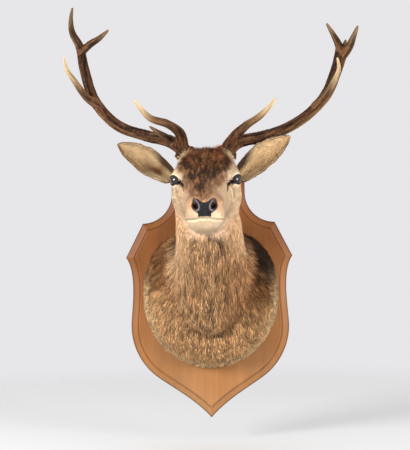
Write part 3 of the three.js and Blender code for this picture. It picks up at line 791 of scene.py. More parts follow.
def neck_markings(points, turn, standing, flow):
    """The colour of the neck and of the bowl behind it."""
    left, height = points[..., 0], points[..., 2]
    top = np.sin(turn)
    patchy = rough_noise(points, 22, 21)
    strands = rough_noise(flow * [1, 1, 0.3], 5.5, 23)
    broad = rough_noise(flow * [1, 1, 0.7], 18, 24)
    pale_side = smooth(34, 66, np.abs(left - 3)) * smooth(10, 150, height)
    pale_side = np.maximum(pale_side, smooth(15, 34, np.abs(left)) * smooth(152, 172, height + 8 * patchy))
    grey = 0.6 - 0.35 * pale_side - 0.2 * smooth(90, 150, height)
    front = bump(left - 14, 44) * smooth(-0.1, -0.5, top) * (1 - 0.55 * smooth(95, 145, height))
    shaded = smooth(46, 78, np.abs(left - 3)) * smooth(135, 90, height) * smooth(40, 12, standing)
    neck = layered(
        NECK_TAN,
        (NECK_LOW, smooth(170, 40, height + 14 * patchy)),
        (NECK_PALE, 0.9 * pale_side),
        # NECK_SHADE: painted shade on the stag's left side, away from the key light
        (NECK_SHADE, 0.65 * smooth(10, 75, left) * smooth(170, 110, height)),
        (NECK_GREY, grey * smooth(-0.1, 0.6, strands)),
        (NECK_DARK, front * np.minimum(smooth(-0.05, 0.5, strands + 0.15 * broad), 0.85)),
        # the fold under the chin, painted dark as its shadow
        (DARK_HAIR_AND_SHADOW, 0.85 * chin_fold_shadow(points) * smooth(-0.3, -0.6, top)),
        # shaded: painted shade, partly darker fur, where the neck meets the bowl's sides; heavier on the
        # stag's left
        (BOWL_DARK, np.where(left > 0, 0.85, 0.5) * shaded),
        (NAPE, smooth(0.2, 0.8, top + 0.1 * patchy)))

    # The bowl's upper sides are its darker fur; on the stag's left they are darker still, partly painted
    # shadow cast by the neck and head.
    left_side = np.maximum(smooth(60, 110, left), smooth(40, 75, left) * smooth(30, 60, height))
    left_dark_and_shadow = smooth(-70, 20, height) * left_side
    dark_right = smooth(-40, 80, height) * smooth(-50, -105, left)
    rim = smooth(0.78, 0.95, bowl_radius(points) + 0.06 * patchy) * smooth(90, -20, height + 20 * patchy)
    bowl = layered(
        BOWL_TAN,
        (BOWL_DARK, np.clip(left_dark_and_shadow + dark_right + 0.35 * broad + 0.5 * strands, 0, 1)),
        (BOWL_DARKEST, left_dark_and_shadow * smooth(20, 70, height + 20 * broad)),
        (NAPE, smooth(90, 130, height) * smooth(100, 60, np.abs(left))),
        (RIM_PALE, 0.7 * rim))
    # crease: the painted shadow under the neck's end, where it overhangs the bowl
    crease = bump(standing + CREASE["below"], CREASE["size"]) * smooth(66, 40, np.abs(left - 5))
    return layered(
        neck,
        (bowl, smooth(8, -10, standing)),
        (CREASE_SHADOW, 0.95 * crease * smooth(-0.4, -0.6, top)))


def face_markings(points, turn, flow):
    """The colour of the head."""
    x, ahead, above = in_head(points)
    left, forward, height = points[..., 0], -points[..., 1], points[..., 2]
    top = np.sin(turn)
    patchy = rough_noise(points, 22, 21)
    fine = rough_noise(points, 7, 22)
    strands = rough_noise(flow * [1, 1, 0.55], 5, 25)
    over_mouth, mouth = mouth_distance(points)

    throat = np.maximum(0.4 * smooth(-20, -110, ahead), smooth(168, 152, height + 8 * fine + 6 * strands))
    upper = smooth(-52, -34, above - 0.35 * (x - 24) + 5 * fine) * smooth(120, 175, ahead)
    end = smooth(150, 185, ahead)
    # beside marks the muzzle's steep sides, painted lighter and with less tan as a painted light against the
    # shade there
    beside = smooth(42, 47, x) * smooth(80, 120, ahead)
    lips = smooth(1.2, 0.6, np.hypot(x / 44, (above + 68) / 26) + 0.15 * fine) * smooth(120, 160, ahead)
    # The lips are painted lighter towards the stag's left and darker towards its right, as painted light and
    # shade.
    lip_colour = LIP_CREAM * np.clip(1 + 0.008 * left, 0.82, 1.2)[..., None]
    corner = bump(x - 37, 9) * smooth(212, 222, height + 4 * fine) * end
    chin = smooth(3, -6, over_mouth) * smooth(0, 70, ahead + 12 * patchy)
    face = layered(
        CREAM,
        (JAW_TAN, throat * smooth(0.9, 0.2, top)),
        (CHEEK_TAN, 0.5 * smooth(0.0, 0.8, strands + 0.5 * fine) * smooth(-40, 10, ahead)),
        (MUZZLE_TAN, np.maximum(0.85 * upper, 0.6 * end) * (1 - 0.6 * beside)),
        (lip_colour, 0.9 * lips),
        (MUZZLE_TAN, np.where(left < 0, 0.75, 0.35) * corner))
    face = layered(
        # the painted light on the muzzle's sides
        face * (1 + 0.1 * beside)[..., None],
        (CHIN_CREAM, 0.9 * chin * smooth(152, 162, height + 5 * fine)),
        # the fold under the chin, painted dark as its shadow
        (DARK_HAIR_AND_SHADOW, 0.8 * chin_fold_shadow(points) * smooth(-0.3, -0.6, top)))

    aside = np.abs(left - np.interp(height, *PATCH_MIDDLE))
    edge = np.interp(height, *BRIDGE_WIDTH) + 7 * fine + 5 * strands
    on_bridge = 0.95 * smooth(edge + 5, edge - 8, aside) * smooth(208, 230, height)
    edge = np.interp(height, *FOREHEAD_WIDTH) + 6 * fine + 8 * strands
    on_forehead = 0.9 * smooth(edge + 9, edge - 7, aside) * smooth(228, 244, height)
    bridge = mixed(BRIDGE, BRIDGE_PALE, smooth(-0.35, 0.75, strands + 0.4 * patchy))
    forehead = layered(
        FOREHEAD,
        (FOREHEAD_PALE, smooth(0.0, 0.75, strands + 0.4 * patchy)),
        (CROWN_RUST, 0.85 * smooth(300, 330, height + 12 * patchy) * smooth(-0.2, 0.5, fine + strands)))
    brow = bump(np.hypot((x - 46) / 1.5, height - 319) - 5 * strands, 10)
    face = layered(
        face,
        (bridge, on_bridge),
        (forehead, on_forehead),
        (DARK_HAIR_AND_SHADOW, 0.85 * brow),
        (NAPE, smooth(-50, -84, ahead) * smooth(0.35, 0.75, top)))
    for eye in EYES:
        distance, outside, angle = eye.polar(points)
        near = bump(distance - EYE["radius"], 16)
        facing = smooth(EYE_FRONT, 1.6, angle)
        face = layered(
            face,
            (EYE_PALE, 0.9 * (near * smooth(16, 6, outside) * facing)),
            (SLIT_DARK, smooth(1.8, 0.2, outside) * facing * near))
    stub = np.linalg.norm(np.stack([x - 54, (forward - 390) / 2, height - 338], -1), axis=-1)
    return layered(
        face,
        (SLIT_DARK, 0.6 * mouth * bump(over_mouth, 1.2) * smooth(50, 34, x)),
        (SLIT_DARK, smooth(3.8, 1.6, slit_distance(points))),
        (SLIT_DARK, smooth(1.04, 0.98, nose_inside(points))),
        (PEDICLE_CREAM, 0.95 * smooth(18, 12, stub + 4 * fine)))


def markings(points, place, turn, standing, flow):
    """The coat's colour over the skin."""
    patchy = rough_noise(points, 22, 21)
    under = smooth(0.2, -0.8, np.sin(turn))
    on_head = smooth(PLACE_OF["throat"] + 18, PLACE_OF["poll"] + 22, place + 22 * under + 6 * patchy)
    colour = mixed(neck_markings(points, turn, standing, flow), face_markings(points, turn, flow), on_head)
    height = points[..., 2] + 4 * patchy
    jowl = smooth(157, 167, height) * smooth(206, 194, height) * smooth(53, 43, np.abs(points[..., 0]))
    jowl = jowl * smooth(0.3, -0.2, np.sin(turn)) * smooth(300, 400, -points[..., 1])
    over_mouth, _ = mouth_distance(points)
    return mixed(colour, CHIN_CREAM, 0.7 * jowl * smooth(2, -6, over_mouth))


skin_colours = markings(skin_points, skin_place, skin_turn, skin_standing, Surface(skin_points).flow())


def build_skin():
    shade = 0.8 + 0.1 * rough_noise(skin_points, 9, 31)
    grid_piece("skin", skin_points, HIDE, skin_colours * shade[..., None],
               ["shoulders", "neck", "head", "lower_jaw"])


# ---------------------------------------------------------------- coat

APRON = (-8.0, -4.0)  # rows past the body's end, over the board, for the coat to lie on
# Along the body: a place, and there the hairs' length, how far their tips lift, and their width.
COAT_MEASURES = np.array([
    (0, 20, 5, 1.6), (90, 27, 7, 1.6), (180, 46, 8.5, 1.55), (330, 50, 8.5, 1.5), (400, 34, 6.5, 1.6),
    (440, 17, 3.4, 1.3), (480, 9.5, 1.9, 1.0), (560, 7.5, 1.3, 0.85), (640, 6, 1.1, 0.8),
    (BODY_LENGTH, 4.2, 0.8, 0.72),
])
COAT_STREAK = ([0, 120, 200, 330, 430, 520], [0.36, 0.44, 0.54, 0.46, 0.16, 0.11])
COAT_CLUMP = ([60, 200, 400, 470], [0.6, 0.45, 0.5, 0.35])


def apron_rows():
    """Rows of points past the body's end, spread outwards just over the board."""
    end = skin_points[0]
    outwards = unit((end - [BOWL["x"], 0, BOWL["z"]]) * [1, 0, 1])
    lifted = np.array([0, -1.5, 0])
    return np.stack([end - outwards * distance + lifted * (distance / APRON[0]) for distance in APRON])


def with_apron(grid):
    return np.concatenate([np.repeat(grid[:1], len(APRON), 0), grid])


coat_surface = Surface(np.concatenate([apron_rows(), skin_points]))
coat_place = np.concatenate([np.repeat(np.array(APRON)[:, None], SKIN_COLUMNS, 1), skin_place])


def coat_fields():
    """What the coat is like over the skin's grid."""
    points = coat_surface.points
    place, turn = coat_place, with_apron(skin_turn)
    x, ahead, above = in_head(points)
    top = np.sin(turn)
    stops, *measures = COAT_MEASURES.T
    length, lift, width = (np.interp(place, stops, values) for values in measures)
    crown = bump(place - PLACE_OF["crown"] - 8, 42) * smooth(0.45, 0.9, top)
    over_crease = bump(with_apron(skin_standing) - 14, 20) * smooth(-0.5, -0.75, top)
    chin = smooth(60, 100, ahead) * smooth(-86, -98, above)
    length = (length + 7 * crown) * (1 - CREASE["shortened"] * over_crease) + 11 * chin
    lift = lift + 5.5 * crown + 4 * chin
    near_board = smooth(90, 0, place)
    ruffle = 0.1 + 0.5 * crown + 0.3 * near_board
    clear = smooth(1.0, 1.06, nose_inside(points))
    over_mouth, mouth = mouth_distance(points)
    clear = clear * (1 - mouth * smooth(1.6, 0.8, np.abs(over_mouth)) * smooth(50, 34, x))
    clear = clear * smooth(1.8, 3.2, slit_distance(points))
    near_eye = np.zeros(place.shape)
    for eye in EYES:
        distance, outside, angle = eye.polar(points)
        front = (angle < EYE_FRONT) & (distance < 2.2 * EYE["radius"])
        clear = clear * np.where(front, smooth(2.2, 4.0, outside), 1)
        near_eye = np.maximum(near_eye, np.where(front, smooth(16, 4, outside), 0))
    length = length * (1 - 0.5 * near_eye)
    lift = lift * (1 - 0.4 * near_eye)
    down = np.array([0, 0, -1.0])
    lie = -unit(coat_surface.along)
    hang = 0.55 * smooth(PLACE_OF["poll"], PLACE_OF["throat"], place)
    swirl = 0.22 * rough_noise(points, 60, 41) + ruffle * rough_noise(points, 14, 42)
    lie = lie + hang[..., None] * down + swirl[..., None] * np.cross(coat_surface.normals, lie)
    lie = square_to(lie, coat_surface.normals)
    colour = with_apron(skin_colours)
    dark_face = smooth(0.3, 0.1, colour.mean(-1)) * smooth(PLACE_OF["throat"], PLACE_OF["crown"], place)
    streak = np.interp(place, *COAT_STREAK) * (1 - 0.5 * smooth(0.34, 0.52, colour.mean(-1)))
    return dict(
        length=length,
        lift=lift,
        width=width,
        ruffle=ruffle,
        density=clear / width ** 1.6,
        lie=lie,
        colour=colour,
        clump=np.interp(place, *COAT_CLUMP) + 0.2 * dark_face,
        unruly=0.15 + 0.3 * crown + 0.2 * near_board,
        streak=streak + 0.25 * crown + 0.5 * dark_face)


def nearest_of(points, centres):
    """For each point, which of the centres is nearest."""
    tree = KDTree(len(centres))
    for i, centre in enumerate(centres):
        tree.insert(centre, i)
    tree.balance()
    return np.array([tree.find(point)[1] for point in points])


# A tuft is three-sided, from its root to its tip, with a bend half way where it is long.
BENT_TUFT = [np.array([[0, 2, 1]]), np.array([[0, 1, 4, 3], [1, 2, 5, 4], [2, 0, 3, 5]]),
             np.array([[3, 4, 6], [4, 5, 6], [5, 3, 6]])]
STRAIGHT_TUFT = [np.array([[0, 2, 1], [0, 1, 3], [1, 2, 3], [2, 0, 3]])]
TUFT_TURNS = np.radians([90, 210, 330])
TUFT_RINGS = (0.5, 0.42)  # how far out the corners lie at the root and at the bend, as shares of the width
TUFT_FLATNESS = 0.6  # a tuft's height over its breadth
# The roots are darkened as painted shade deep in the coat; the tips are paler, as the hairs' own tips are.
TUFT_SHADES = {True: (0.5, 1.0, 1.1), False: (0.75, 1.2)}  # from root to tip, for bent and straight tufts
TUFT_PATCH = 0.0015  # half a tuft's patch on the unwrap
ROOT_DEPTH = 0.8  # how far under the skin a tuft starts
BEND_LIFT = 0.72  # a tuft's bend lifts so much of what its tip does
MOST_STRETCH = 1.35  # the most that a lock can draw out a tuft, for its length and lift together
PALEST = 0.95  # the most of any one colour that a hair reflects


def tufts(name, stations, normal, width, colour, patches):
    """Closed tapering tufts through their stations: roots, middles where they bend, and tips."""
    bent = len(stations) > 2
    shades = TUFT_SHADES[bent]
    run = unit(stations[1] - stations[0])
    beside = unit(np.cross(normal, run))
    over = np.cross(run, beside)
    rings, tones, spread_out = [], [], []
    for level, (centre, thick) in enumerate(zip(stations[:-1], TUFT_RINGS)):
        for turn in TUFT_TURNS:
            outwards = math.cos(turn) * beside + TUFT_FLATNESS * math.sin(turn) * over
            rings.append(centre + outwards * (width * thick)[:, None])
            tones.append(shades[level])
            spread_out.append((math.cos(turn), level - 0.7 + 0.3 * math.sin(turn)))
    points = np.stack(rings + [stations[-1]], 1)
    spread_out = np.clip(np.array(spread_out + [(0, 1)]), -1, 1) * TUFT_PATCH
    colours = colour[:, None] * np.array(tones + [shades[-1]])[None, :, None]
    first = np.arange(len(normal))[:, None, None] * points.shape[1]
    shape = BENT_TUFT if bent else STRAIGHT_TUFT
    made = [(faces[None] + first).reshape(-1, faces.shape[1]) for faces in shape]
    spots = (patches[:, None] + spread_out[None]).reshape(-1, 2)
    corners = np.concatenate([f.ravel() for f in made])
    new_piece(name, points.reshape(-1, 3), made, COAT, colours.reshape(-1, 3), spots[corners])


def grow(name, surface, fields, rows, columns, count, lock, bent, seed):
    """Grows count tufts over the given rows and columns of a surface, as its fields say.
    They draw together into locks about as wide as lock says."""
    rng = np.random.default_rng(seed)
    (first_row, last_row), (first_column, last_column) = rows, columns
    weight = fields["density"] * surface.area
    weight = weight[first_row:last_row, first_column:last_column]
    total = np.cumsum(weight.ravel())
    picked = np.searchsorted(total, (np.arange(count) + rng.random(count)) * total[-1] / count)
    picked = np.minimum(picked, weight.size - 1)
    row = picked // weight.shape[1] + first_row + rng.random(count)
    column = picked % weight.shape[1] + first_column + rng.random(count)

    def read(key):
        return surface.read(fields[key], row, column)

    normal = unit(surface.read(surface.normals, row, column))
    wander = rng.normal(0, 1, count) * read("ruffle")
    length = read("length") * rng.uniform(0.7, 1.25, count)
    forward_steps = surface.steps(fields["lie"])
    side_steps = surface.steps(np.cross(surface.normals, fields["lie"]))

    def go(row, column, distance, angle):
        steps = (np.cos(angle)[:, None] * surface.read(forward_steps, row, column)
                 + np.sin(angle)[:, None] * surface.read(side_steps, row, column))
        return row + steps[:, 0] * distance, column + steps[:, 1] * distance

    def over(row, column, height):
        at = surface.read(surface.points, row, column)
        return at + unit(surface.read(surface.normals, row, column)) * height[:, None]

    lift = read("lift") * rng.uniform(0.55, 1.3, count)
    lift = lift * np.exp(read("unruly") * rng.normal(0, 1, count).clip(-2, 1.6))
    bend = go(row, column, length * 0.5, wander)
    end = go(*bend, length * 0.5, wander * 1.6 + rng.normal(0, 0.15, count))
    root = over(row, column, np.full(count, -ROOT_DEPTH))
    middle = over(*bend, lift * BEND_LIFT)
    tip = over(*end, lift)

    area = surface.area[first_row:last_row, first_column:last_column].sum()
    leaders = rng.choice(count, max(int(area / lock ** 2), 8), replace=False)
    flow = surface.read(surface.flow(), row, column)
    leader = leaders[nearest_of(flow, flow[leaders])]
    clump = read("clump") * rng.uniform(0.5, 1.0, count)
    middle = mixed(middle, middle[leader], 0.35 * clump)
    tip = mixed(tip, tip[leader], clump)
    kept = np.minimum(1, MOST_STRETCH * (length + lift) / np.linalg.norm(tip - root, axis=-1))
    middle, tip = mixed(root, middle, kept), mixed(root, tip, kept)

    tone = 1.1 * rng.normal(0, 1, count)[leader] + 0.7 * rng.normal(0, 1, count)
    tone = tone + rough_noise(flow, lock, seed)
    colour = read("colour") * np.exp(read("streak") * np.clip(tone, -2.2, 1.6))[:, None]
    colour = colour / np.maximum(1, colour.max(-1, keepdims=True) / PALEST)
    patch = np.stack([(column - first_column) / (last_column - first_column),
                      (row - first_row) / (last_row - first_row)], -1)
    width = read("width") * rng.uniform(0.7, 1.3, count)
    stations = [root, middle, tip] if bent else [root, tip]
    tufts(name, stations, normal, width, colour, 0.01 + 0.98 * patch)


# The coat's pieces: from one place to another, how many tufts on each side, the width of a lock, and whether
# the tufts are long enough to bend.
COAT_BANDS = [
    ("bowl", 0, "brisket", 16500, 5, True),
    ("low_neck", "brisket", "middle", 11500, 4.5, True),
    ("high_neck", "middle", "throat", 12500, 4.5, True),
    ("poll", "throat", "crown", 11000, 5, True),
    ("eyes", "crown", "cheeks", 22000, 4, False),
    ("muzzle", "cheeks", "nose", 24000, 3, False),
]


def build_coat():
    fields = coat_fields()
    half = SKIN_COLUMNS // 2
    offset = len(APRON)
    for number, (name, start, end, count, lock, bent) in enumerate(COAT_BANDS):
        start, end = (PLACE_OF.get(place, place) for place in (start, end))
        rows = tuple(int(np.searchsorted(row_places, place)) + offset for place in (start, end))
        rows = rows[0], min(rows[1], coat_surface.rows - 2)
        for side, first in (("left", 0), ("right", half)):
            grow(f"coat_{name}_{side}", coat_surface, fields, rows, (first, first + half), count, lock, bent,
                 100 + 2 * number + (first > 0))


# ---------------------------------------------------------------- nose pad

# The pad's relief: how far its middle stands out, and how much its edge, wings, nostrils, groove and grain
# change that.
PAD = dict(rise=1.5, edge=2.6, wing=1.5, pit=7, pit_floor=6, groove=1.3, grain=0.28, thickness=5)
RAY_START = 320  # ahead of the whole head
PAD_DARK = srgb(13, 13, 15)
PAD_GREY = srgb(30, 31, 35)
PAD_EDGE = srgb(24, 20, 20)
WING_GREY = srgb(124, 116, 114)
PIT_BROWN = srgb(78, 44, 35)
PIT_SHADOW = srgb(14, 6, 5)


def build_nose():
    """The bare pad: a lens over the muzzle's end, with a comma of a nostril on each side."""
    near_end = row_places[row_places > PLACE_OF["bridge"]]
    place, turn = np.meshgrid(near_end, column_turns, indexing="ij")
    outer, _ = body_points(place, turn, 0)
    outer_faces, _ = grid_faces(*outer.shape[:2])
    polygons = [face for kind in outer_faces for face in kind.tolist()]
    tree = BVHTree.FromPolygons(closed_points(outer).tolist(), polygons)
    rows, columns = 64, 160
    share, turn = np.meshgrid(np.linspace(0.012, 1, rows), even_turns(columns) - math.pi, indexing="ij")
    reach = nose_reach(turn) * share
    x, above = reach * np.cos(turn), NOSE_CENTRE + reach * np.sin(turn)
    start = head_point(0, RAY_START, 0) + x[..., None] * [1, 0, 0] + above[..., None] * ABOVE
    back = Vector(-AHEAD)
    hits = [tree.ray_cast(Vector(point), back)[0] for point in start.reshape(-1, 3)]
    front = np.array(hits).reshape(start.shape)
    normals = Surface(front).normals
    normals = normals * np.sign(normals @ AHEAD)[..., None]

    across = np.abs(x) - NOSTRIL["x"] - 0.2 * (above - NOSTRIL["above"])
    upright = above - NOSTRIL["above"]
    pit = np.hypot(across / NOSTRIL["wide"], upright / NOSTRIL["tall"])
    wing = bump(pit - 1.12, 0.2) * smooth(6, -4, np.abs(x) - NOSTRIL["x"])
    rise = PAD["rise"] - PAD["edge"] * smooth(0.86, 1.0, share)
    rise += PAD["wing"] * wing - PAD["pit"] * smooth(1.05, 0.45, pit)
    rise -= PAD["pit_floor"] * np.maximum(0.8 - pit, 0)
    rise -= PAD["groove"] * bump(x, 1.3) * smooth(-36, -50, above)
    pebbles = rough_noise(front, 2.6, 51)
    rise += PAD["grain"] * pebbles * smooth(0.95, 1.3, pit)
    front = front + normals * rise[..., None]
    behind = front[-1:] - normals[-1:] * PAD["thickness"]
    points = np.concatenate([front, behind, 0.5 * (behind + behind.mean(1, keepdims=True))])

    deep = np.hypot((across - 1.5) / 6.6, (upright + 1) / 8.6)
    colour = layered(
        PAD_DARK,
        (PAD_GREY, smooth(0.1, 0.9, 0.5 + pebbles)),
        (WING_GREY, 0.65 * wing),
        (PIT_BROWN, smooth(1.02, 0.85, pit)),
        # the nostril's depths painted near black as shadow over the pit's own brown
        (PIT_SHADOW, smooth(1.1, 0.5, deep)),
        (PAD_EDGE, smooth(0.9, 1.0, share)))
    colours = np.concatenate([colour, colour[-1:], colour[-1:]])
    grid_piece("nose_pad", points[:, ::-1], NOSE_LEATHER, colours[:, ::-1], ["nose"])


# ---------------------------------------------------------------- ears

# light is how bright the hollow is painted, the right one darker as painted shade, and patch how strong its
# brown patch.
EARS = {
    "right": dict(side=-1, root=(-72, -350, 291), bend=(-142, -318, 344), tip=(-218, -290, 381),
                  light=0.64, patch=0.95),
    "left": dict(side=1, root=(70, -350, 289), bend=(134, -322, 350), tip=(208, -296, 393),
                 light=1.0, patch=0.15),
}
EAR = dict(half_breadth=31, thickness=4.4, edge=1.6, cup=34, ragged=0.06, ridge=0.9)
EAR_BREADTH = graph([0, 0.25, 0.5, 0.75, 0.92, 1], [0.62, 0.9, 1, 0.74, 0.36, 0])  # from root to tip
EAR_CUP = graph([0, 0.25, 0.5, 0.8, 1], [1.1, 0.85, 0.5, 0.2, 0])
EAR_ROWS, EAR_COLUMNS = 96, 96
EAR_TUFTS, EAR_LOCK = 6000, 4

INSIDE_TAN = srgb(212, 176, 130)
INSIDE_PALE = srgb(234, 200, 154)
INSIDE_CREAM = srgb(236, 206, 164)
INSIDE_BROWN = srgb(92, 52, 22)
INSIDE_STRAND = srgb(180, 138, 92)
INSIDE_ROOT_SHADOW = srgb(54, 32, 15)
OUTSIDE_BROWN = srgb(118, 86, 58)
OUTSIDE_DARK = srgb(88, 62, 42)
EAR_RIM = srgb(84, 60, 40)


def ear_grid(plan):
    """An ear's skin: its middle rib, and round it a crescent whose hollow faces forward.
    t runs from the root to the tip, and the turn's sine is over 0 in the hollow."""
    root, bend, tip = (np.array(plan[key], float) for key in ("root", "bend", "tip"))
    t, turn = np.meshgrid(np.linspace(0.001, 0.995, EAR_ROWS), -even_turns(EAR_COLUMNS), indexing="ij")
    t3 = t[..., None]
    centre = (1 - t3) ** 2 * root + 2 * t3 * (1 - t3) * bend + t3 ** 2 * tip
    tangent = unit(2 * (1 - t3) * (bend - root) + 2 * t3 * (tip - bend))
    facing = square_to(np.array([0, -1, -0.15]), tangent)
    across = np.cross(tangent, facing)
    v = np.cos(turn)
    ragged = EAR["ragged"] * noise(np.stack([t * 12, v, 0 * t], -1), 1, 60 + plan["side"])
    wide = EAR["half_breadth"] * EAR_BREADTH(t) * v * (1 + ragged * smooth(0.15, 0.5, t))
    thick = (EAR["edge"] + (EAR["thickness"] - EAR["edge"]) * (1 - t)) * np.sin(turn)
    ridges = EAR["ridge"] * np.cos(v * 9) * smooth(0.9, 0.5, np.abs(v)) * smooth(0.95, 0.4, t)
    ridges = ridges * (np.sin(turn) > 0)
    deep = EAR["cup"] * EAR_CUP(t) * v * v + thick / 2 + ridges * np.sin(turn)
    return centre + across * wide[..., None] + facing * deep[..., None], t, turn


def ear_colour(points, t, turn, plan):
    v = np.cos(turn)
    upper = -plan["side"] * v
    patchy = rough_noise(points, 15, 61)
    strands = rough_noise(np.stack([v * 30, t * 40, 0 * t], -1), 6, 63)
    dark = smooth(0.6, 0.3, t + 0.1 * patchy) * smooth(0.1, 0.2, t) * bump(upper + 0.35 + 0.2 * patchy, 0.4)
    # The hollow is scaled by the plan's light, which paints the right ear's hollow darker as shade.
    inside = layered(
        plan["light"] * mixed(INSIDE_TAN, INSIDE_PALE, smooth(-0.3, 0.6, upper + 0.5 * patchy)),
        (INSIDE_BROWN, plan["patch"] * dark),
        (INSIDE_CREAM, 0.8 * smooth(0.4, 0.15, t) * smooth(-0.5, -0.85, upper)),
        (INSIDE_STRAND, 0.45 * smooth(0.1, 0.7, strands)),
        # painted shadow at the ear's root along its upper side
        (INSIDE_ROOT_SHADOW, 0.95 * (smooth(0.44, 0.2, t + 0.06 * patchy) * smooth(0.0, 0.55, upper))))
    return layered(
        mixed(OUTSIDE_BROWN, OUTSIDE_DARK, smooth(0, 0.7, patchy)),
        (inside, smooth(-0.15, 0.2, np.sin(turn))),
        (EAR_RIM, 0.7 * smooth(0.93, 0.99, np.abs(v)) * smooth(0.55, 0.9, t)))


def build_ear(name, plan):
    """An ear's skin and its coat, longer inside and along its rim."""
    points, t, turn = ear_grid(plan)
    colour = ear_colour(points, t, turn, plan)
    grid_piece("ear_skin_" + name, points, HIDE, colour * 0.85, ["ear_" + name])
    surface = Surface(points)
    v = np.cos(turn)
    inner = smooth(-0.1, 0.3, np.sin(turn))
    edge = smooth(0.82, 0.97, np.abs(v))
    lie = unit(surface.along)
    inwards = -np.sign(v)[..., None] * np.cross(lie, np.array([0, -1.0, 0]))
    lie = square_to(lie + (0.5 * inner * np.abs(v))[..., None] * inwards, surface.normals)
    fields = dict(
        length=mixed_number(8, 12, inner * smooth(0.95, 0.3, t)) + 3 * edge,
        lift=mixed_number(1.3, 1.9, inner) + 1.0 * edge,
        width=mixed_number(1.0, 0.85, inner),
        ruffle=mixed_number(0.12, 0.14, inner),
        density=1 + 2.5 * edge,
        lie=lie,
        colour=colour,
        clump=np.full(t.shape, 0.3),
        unruly=np.full(t.shape, 0.1),
        streak=np.full(t.shape, 0.14))
    half = EAR_COLUMNS // 2
    for part, first in (("outer", 0), ("inner", half)):
        grow(f"ear_coat_{part}_{name}", surface, fields, (1, EAR_ROWS - 2), (first, first + half),
             EAR_TUFTS, EAR_LOCK, False, 300 + plan["side"] + 10 * (first > 0))


# ---------------------------------------------------------------- antlers

# Each branch runs through points, with its radius at even shares of its length.
ANTLERS = {
    "right": {
        "beam": ([(-44, 386, 338), (-54, 373, 360), (-84, 352, 381), (-148, 308, 400), (-221, 258, 431),
                  (-278, 226, 495), (-304, 208, 574), (-316, 199, 633), (-334, 199, 670), (-337, 201, 703),
                  (-332, 206, 733)], [19, 15, 13.8, 13.4, 13.6, 12.8, 12, 9, 3]),
        "brow": ([(-55, 374, 366), (-59, 397, 396), (-88, 436, 418), (-124, 460, 429), (-144, 470, 447),
                  (-163, 472, 473)], [16, 11.5, 9.6, 7.5, 3]),
        "bez": ([(-74, 354, 376), (-92, 377, 389), (-113, 392, 402), (-133, 401, 416)], [10, 9, 6.5, 2.5]),
        "trez": ([(-265, 232, 479), (-295, 245, 500), (-319, 275, 535), (-337, 300, 565), (-343, 318, 596)],
                 [11, 9, 7.8, 5.8, 2.5]),
        "crown_back": ([(-313, 203, 618), (-290, 192, 641), (-269, 182, 656), (-244, 170, 680)],
                       [10, 9.2, 7, 3]),
    },
    "left": {
        "beam": ([(45, 386, 338), (56, 373, 359), (83, 354, 378), (138, 308, 392), (201, 256, 416),
                  (257, 236, 452), (302, 220, 501), (325, 207, 551), (338, 201, 589), (347, 200, 624)],
                 [19, 15, 14.6, 13.8, 13.2, 13, 14.2, 14.2, 17]),
        "brow": ([(54, 374, 364), (74, 397, 391), (97, 427, 411), (127, 452, 429), (150, 465, 450),
                  (168, 471, 472)], [17, 12.5, 9, 7.3, 3]),
        "trez": ([(272, 234, 470), (300, 245, 500), (319, 272, 529), (328, 298, 556), (323, 318, 582)],
                 [11, 9, 7.5, 5.5, 2.5]),
        "crown_inner": ([(344, 201, 604), (336, 196, 630), (322, 186, 660), (308, 178, 686)],
                        [11, 9.2, 6.4, 3]),
        "crown_outer": ([(348, 202, 602), (362, 208, 620), (373, 217, 645), (384, 226, 672)],
                        [12, 10, 7, 3]),
        "crown_back": ([(346, 198, 610), (352, 190, 628), (357, 182, 643)], [8, 6, 3]),
    },
}
BURR = dict(radius=24, height=15, along=17)
# The burr in section: shares of its radius and of its height.
BURR_PROFILE = [(0.55, -0.5), (0.86, -0.46), (1.0, -0.2), (0.97, 0.08), (0.8, 0.34), (0.5, 0.5)]
RELIEF = dict(grooves=0.9, pearls=1.5, burr=2.2)
ANTLER_VOXEL = 1.7  # the size of the cells that the branches are fused with
ANTLER_SAMPLE = 2.5  # between the samples along a branch
TUBE_SIDES = 20
BLUNT = 8  # a branch whose last radius is over this ends in a crown, not in a tip
OFF_FOOT = 200  # how far from the antler's foot its tines count as being
# How pale the tips are rubbed, and how far down.
POLISH = dict(brow=(0.85, 70), trez=(0.9, 115), bez=(0.1, 60))
OTHER_POLISH = (0.15, 60)

HORN_DARK = srgb(17, 10, 7)
HORN_BROWN = srgb(100, 65, 41)
HORN_HIGHLIGHT_GOLD = srgb(164, 122, 76)
HORN_TAN = srgb(122, 92, 62)
HORN_PALE = srgb(222, 194, 150)
HORN_FOOT = srgb(70, 46, 30)


def spline(path):
    """A smooth line through the points of a path, as close samples: the same curve as the solids follow."""
    points = np.array([(x, -forward, height) for x, forward, height in path], float)
    points = np.concatenate([[2 * points[0] - points[1]], points, [2 * points[-1] - points[-2]]])
    samples = []
    t = np.linspace(0, 1, 60, endpoint=False)[:, None]
    for p0, p1, p2, p3 in zip(points, points[1:], points[2:], points[3:]):
        d0, d1, d2 = (np.sqrt(np.linalg.norm(b - a)) for a, b in ((p0, p1), (p1, p2), (p2, p3)))
        slope1 = ((p1 - p0) / d0 - (p2 - p0) / (d0 + d1) + (p2 - p1) / d1) * d1
        slope2 = ((p2 - p1) / d1 - (p3 - p1) / (d1 + d2) + (p3 - p2) / d2) * d1
        ends = (2 * t ** 3 - 3 * t ** 2 + 1) * p1 + (3 * t ** 2 - 2 * t ** 3) * p2
        samples.append(ends + (t ** 3 - 2 * t ** 2 + t) * slope1 + (t ** 3 - t ** 2) * slope2)
    return np.concatenate(samples + [points[-2:-1]])


